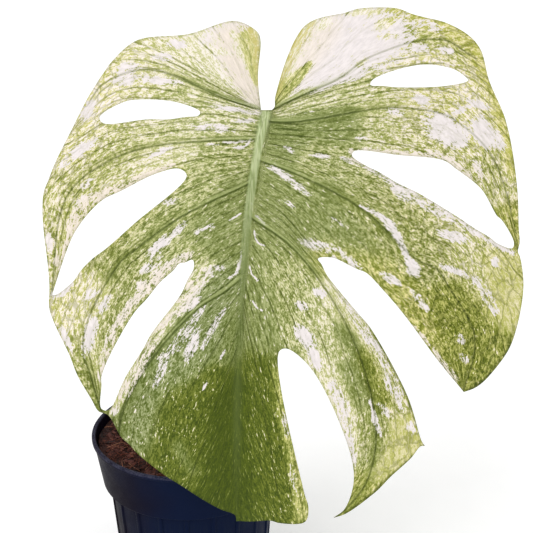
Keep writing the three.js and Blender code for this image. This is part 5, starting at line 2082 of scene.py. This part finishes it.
ISLAND_STREAKS = (
    (1.25, ((3.1, 3.3, 1.2), (9.2, 10.2, 2.2), (16.4, 17.5, 2.2), (23.6, 25.2, 0.8))),
    (0.9, ((4.2, 3.8, 1.2), (7.1, 12.6, 1.2), (11.6, 24.7, 1.2), (17, 36, 1.6))),
    (0.75, ((-6, 14, 0.6), (-9, 28, 1.2), (-12, 42, 1.8))),
    (0.7, ((-3.5, 20, 0.8), (-5, 34, 1.2), (-8, 46, 1.6))),
    (1.0, ((4, -2, 1.5), (18, 2.5, 2.5), (38, 7, 4), (58, 13, 5))),
    (0.6, ((2, -6, 2), (17, -7, 2.5), (46, -4, 3))),
)

# White streaks: strength, then u, v and half width along each.
STREAKS = (
    (0.74, (
        (-51, -30, 1), (-69.5, -36.5, 1.5), (-88, -45.5, 2.5), (-102.5, -51, 3),
        (-111.5, -75.5, 1.5), (-116.5, -82, 1),
    )),
    (0.62, (
        (-41.5, -78, 1.5), (-53.5, -85.5, 2.5), (-73.5, -104.5, 2), (-86, -122.5, 2),
        (-91.5, -146, 1.5),
    )),
    (0.44, ((-24, -108, 1), (-30, -118, 1.6), (-36, -130, 1))),
    (0.46, ((-34, -106, 1), (-42, -117, 1.8), (-50, -131, 1.4))),
    (0.44, ((-46, -120, 1.4), (-56, -136, 2), (-62, -150, 1.4))),
    (0.5, (
        (-25.5, -86, 1.5), (-34, -90, 3), (-42, -98, 4), (-50, -107, 4), (-57, -115, 3),
        (-64, -127.5, 2.5), (-72.5, -144, 2.5), (-80.5, -157.5, 2),
    )),
    (0.72, (
        (50.5, -22.5, 1), (68, -24.5, 2), (94.5, -25, 2.5), (105.5, -30, 2.5), (115, -36.5, 1.5),
    )),
    (0.62, (
        (52, -30.5, 1), (65.5, -37.5, 1.5), (79.5, -45.5, 3), (99, -57, 2.5), (120, -67, 2.5),
        (136.5, -76, 2),
    )),
    (0.82, (
        (50, -53, 0.5), (57, -56, 0.8), (63, -60, 1.4), (68, -65, 2), (72, -71, 1.3),
        (74, -76, 0.6),
    )),
    (0.64, ((34.5, -150.5, 2), (40.5, -164.5, 3), (44.5, -182, 2), (46.5, -196.5, 1.5))),
    (0.42, (
        (33.5, -92, 1), (42, -104, 2), (50, -116, 3), (60, -129, 3), (68, -146, 2.5),
        (74.5, -163, 2.5),
    )),
    (0.58, ((117, -94, 2), (124.5, -102.5, 2.5), (130.5, -112, 2))),
    (0.55, ((35.5, -81, 1), (57, -96, 1.5), (73, -113, 1.5), (90, -132.5, 2), (104.5, -150, 2))),
    (0.55, ((8, 1, 0.5), (24, 6, 1), (43, 9, 1))),
    (0.7, ((-34, -90, 1.5), (-26, -86, 1))),
)

# Thin white hooks that curve into the midrib, in the same form.
HOOKS = (
    (1.0, ((-14.5, -75, 0.25), (-15.4, -83, 0.4), (-17, -88.5, 0.65), (-21, -91.6, 0.4))),
    (1.0, ((-7.1, -66.6, 0.3), (-6.5, -70.3, 0.45), (-4.1, -73.1, 0.4), (-0.8, -74.4, 0.25))),
    (0.95, ((-9.6, -85, 0.3), (-8.6, -89.4, 0.4), (-5.6, -92.8, 0.3))),
    (0.9, ((-8, -104.7, 0.3), (-6, -107.7, 0.4), (-2.8, -109.6, 0.3))),
    (1.1, ((-5.6, -58.4, 0.5), (-1.9, -62.4, 0.4))),
    (1.0, ((-14.9, -56.7, 0.35), (-20.3, -60, 0.4))),
    (1.15, ((-8.8, -15.6, 0.4), (-11.8, -19.6, 0.6), (-18.8, -20.9, 0.4))),
)

# Yellow strips on the sinus edges, and rose-tinged margins, in the same form.
GOLD_EDGES = (
    (1.0, ((6, 10, 1.5), (13, 29, 2.5), (20, 42, 4), (24, 48, 3))),
    (0.9, ((-4, 12, 1), (-4.5, 25, 1.5), (-5, 36, 2.5), (-8, 45, 2.5))),
)
ROSE_EDGES = (
    (1.0, ((-51, -31, 4), (-69, -36, 5), (-90, -47, 6), (-106, -62, 6), (-116, -84, 5))),
    (0.8, ((-42, -80, 4), (-58, -92, 5), (-76, -112, 5), (-90, -140, 5))),
    (0.8, ((-40, -88, 6), (-52, -106, 6), (-66, -128, 6), (-82, -158, 5))),
    (0.9, ((-6, 6, 4), (-12, 20, 9), (-18, 38, 9))),
    (0.8, ((50, -24, 5), (75, -25, 6), (104, -30, 6), (122, -42, 6))),
    (0.8, ((30, -88, 4), (50, -98, 5), (74, -114, 5), (104, -150, 5))),
    (0.7, ((10, 16, 6), (22, 34, 8), (30, 46, 8))),
)

# Painted shade along the rims of margins that droop away, in the same form.
RIM_SHADE_STROKES = (
    (1.6, ((56, -119, 0.5), (66, -135, 0.8), (77, -158, 0.8), (84, -177, 0.7), (88, -187, 0.6))),
    (1.6, ((88, -187, 0.6), (80, -194, 0.8), (68, -204, 1.0), (58, -214, 0.9), (43, -225, 0.6))),
    (1.2, ((111, -157, 0.5), (120, -153, 0.7), (137, -137, 0.6))),
)

# Broad washes of tone over the lobes: u, v and half width along each.
WASHES = (
    (Wash.MILK, ((-8, 8, 4), (-16, 24, 8), (-24, 40, 9), (-40, 40, 6))),
    (Wash.LEMON, ((-7, 16, 1), (-9, 29, 1.6), (-12, 43, 2.2))),
    (Wash.CREAM, ((-48, 34, 8), (-66, 30, 9), (-82, 20, 8))),
    (Wash.PALE, ((-20, 5, 5), (-42, 12, 6))),
    (Wash.MILK, ((-90, 12, 5), (-98, 1, 8))),
    (Wash.PALE, ((-14, -3, 4), (-36, -8, 6), (-62, -11, 7), (-88, -16, 7))),
    (Wash.CREAM, ((-103, -10, 7), (-108, -22, 5))),
    (Wash.FERN, ((-13, -24, 7), (-34, -31, 9))),
    (Wash.CREAM, ((-44, -22, 5), (-64, -28, 4))),
    (Wash.PALE, ((-88, -32, 7), (-104, -44, 8), (-115, -62, 9), (-118, -84, 5))),
    (Wash.SAGE, ((-14, -46, 9), (-26, -64, 9))),
    (Wash.FERN, ((-42, -45, 8), (-64, -57, 10), (-86, -81, 9))),
    (Wash.FERN, ((-46, -80, 6), (-66, -99, 6), (-84, -120, 5))),
    (Wash.LIME, ((-48, -36, 3), (-70, -56, 3), (-88, -71, 3))),
    (Wash.CREAM, ((-98, -98, 7), (-109, -112, 8))),
    (Wash.PALE, ((-100, -124, 6), (-96, -136, 6), (-88, -150, 5))),
    (Wash.FERN, ((-102, -140, 5), (-95, -158, 6))),
    (Wash.PALE, ((-35, -88, 3), (-45, -99, 4))),
    (Wash.CREAM, ((-52, -104, 6), (-70, -126, 5), (-84, -157, 4))),
    # Painted bluish sheen of reflected sky over the lower left lobes.
    (Wash.BLUE_SHEEN, ((-24, -97, 6), (-42, -114, 8))),
    (Wash.BLUE_SHEEN, ((-62, -136, 9), (-72, -158, 9), (-72, -176, 8))),
    (Wash.BLUE_SHEEN, ((-30, -124, 7), (-46, -140, 7))),
    # Darker painted shade with a painted bluish sheen.
    (Wash.SHADE_WITH_SHEEN, ((-19, -120, 4), (-24, -134, 5))),
    (Wash.MOSS, ((-28, -146, 6), (-40, -158, 8), (-54, -176, 7), (-54, -192, 9))),
    # Darker painted shade with a painted bluish sheen.
    (Wash.SHADE_WITH_SHEEN, ((-50, -184, 3), (-43, -196, 3))),
    (Wash.DEEP, ((-18, -150, 6), (-26, -172, 11), (-26, -192, 13), (-20, -212, 12))),
    (Wash.MOSS, ((-6, -140, 7), (0, -172, 8), (4, -216, 8))),
    (Wash.MOSS, ((-40, -170, 6), (-44, -196, 6))),
    (Wash.LIME, ((5, -146, 2.5), (12, -180, 2.5), (17, -205, 3), (19, -222, 3))),
    (Wash.SAGE, ((-7, -106, 8), (-3, -126, 9))),
    (Wash.FERN, ((14, -88, 8), (14, -106, 8), (14, -122, 5))),
    (Wash.SAGE, ((6, -16, 8), (24, -10, 7), (44, -8, 6))),
    (Wash.SAGE, ((0, -40, 10), (12, -66, 14), (36, -58, 13))),
    # Painted shade of the fold beside the midrib's top, under a painted bluish sheen.
    (Wash.SHADE_WITH_SHEEN, ((4, -10, 3), (11, -11.5, 3.5), (19, -12.5, 3))),
    (Wash.PALE, ((8, 1, 2.5), (22, 5, 4), (42, 9, 5), (60, 13, 5))),
    (Wash.FERN, ((28, -27, 7), (42, -30, 5))),
    (Wash.FERN, ((46, -48, 5), (58, -56, 5))),
    (Wash.MILK, ((14, 22, 7), (34, 36, 13), (62, 45, 12))),
    (Wash.PALE, ((78, 46, 5), (96, 40, 7), (110, 33, 6))),
    (Wash.CREAM, ((118, 20, 7), (127, 4, 8))),
    (Wash.MILK, ((94, 28, 6), (108, 17, 9), (117, 8, 7))),
    (Wash.LEMON, (
        (72, 55, 4), (92, 49, 5), (110, 42, 6), (124, 24, 5), (135, -2, 3), (141, -30, 3),
    )),
    (Wash.LIME, ((3, 3, 1.5), (9, 10, 2.5), (16, 17.5, 2.5), (24, 25, 1.5))),
    (Wash.PALE, ((58, -2, 7), (72, -14, 8), (100, -16, 7))),
    (Wash.CREAM, ((84, 8, 6), (106, 10, 5))),
    (Wash.CREAM, ((110, 0, 7), (124, -14, 7))),
    (Wash.PALE, ((126, -26, 6), (133, -44, 8))),
    (Wash.LIME, ((138, -56, 5), (142, -69, 5))),
    (Wash.FERN, ((54, -37, 5), (72, -50, 9), (84, -68, 9), (92, -84, 9))),
    (Wash.PALE, ((82, -47, 4), (104, -60, 6), (122, -70, 6))),
    (Wash.LIME, ((30, -80, 5), (50, -92, 5), (72, -104, 6), (92, -128, 5))),
    (Wash.OLIVE, ((98, -108, 9), (108, -126, 11), (110, -148, 9), (124, -134, 9))),
    (Wash.PALE, ((106, -78, 6), (118, -88, 6))),
    (Wash.CALM, ((126, -86, 7), (138, -96, 9), (141, -112, 6))),
    (Wash.PALE, ((40, -100, 4), (54, -118, 6), (68, -142, 6))),
    (Wash.PALE, ((66, -142, 5), (74, -164, 5))),
    (Wash.CALM, ((76, -172, 5), (76, -184, 6), (68, -194, 6), (60, -202, 4))),
    (Wash.CREAM, ((34, -98, 5), (46, -113, 7))),
    (Wash.SAGE, ((37, -122, 5), (44, -140, 6), (50, -158, 5))),
    (Wash.PALE, ((26, -112, 3), (40, -134, 3))),
    (Wash.OLIVE, ((52, -136, 3), (58, -150, 4), (63, -160, 3))),
    (Wash.CREAM, ((30, -142, 6), (38, -160, 8), (44, -186, 7))),
    (Wash.FERN, ((56, -172, 5), (54, -192, 6))),
    (Wash.LIME, ((54, -207, 5), (45, -220, 5))),
)

LEAF_TONES = (
    (-0.15, tint("37470a")),
    (0.05, tint("53621a")),
    (0.25, tint("757f3b")),
    (0.45, tint("959e5c")),
    (0.65, tint("babc80")),
    (0.85, tint("dfdab0")),
    (1.0, tint("f3ebde")),
)
BACK_TONES = (
    (-0.1, tint("6f7d45")),
    (0.3, tint("929e6c")),
    (0.6, tint("b5bb8e")),
    (0.85, tint("d3d3ae")),
    (1.0, tint("e6e0ce")),
)
FACE_FINISH = BladeFinish(
    name="blade_face",
    tones=LEAF_TONES,
    white=tint("eae2e1"),
    rose=tint("ece0d2"),
    gold=tint("c9bf72"),
    midrib=tint("cbd5a4"),
    rib_dark=tint("9fae75"),
    rib_low=tint("64733a"),
    shoulder=tint("a7b172"),
    line=tint("a0a877"),
    vein=tint("8a955f"),
    gloss=0.44,
    relief=0.0004,
)
BACK_FINISH = BladeFinish(
    name="blade_back",
    tones=BACK_TONES,
    white=tint("e4dfd2"),
    rose=tint("e6dccb"),
    gold=tint("c4bd86"),
    midrib=tint("b9c194"),
    rib_dark=tint("9aa673"),
    rib_low=tint("a8b081"),
    shoulder=tint("b6be8e"),
    line=tint("b9bf93"),
    vein=tint("b0b789"),
    gloss=0.58,
    relief=0.0003,
)


def main() -> None:
    """Dresses the CAD model piece by piece."""
    logging.basicConfig(level=logging.INFO, format="%(name)s: %(message)s")
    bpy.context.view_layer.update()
    Viewpoint().set_up()
    Studio().build()
    pot = NurseryPot()
    form = BladeForm()
    made = [
        *pot.build(ring_tree()),
        *PottingMix(pot).build(scatter_tree()),
        *StemAndRoots().build(),
        *LeafBlade(form).build(),
        *LeafStalk(form).build(),
    ]
    for piece in made:
        piece.data.calc_loop_triangles()
        LOG.info("%s: %d triangles", piece.name, len(piece.data.loop_triangles))
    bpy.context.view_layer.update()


if __name__ == "__main__":
    main()
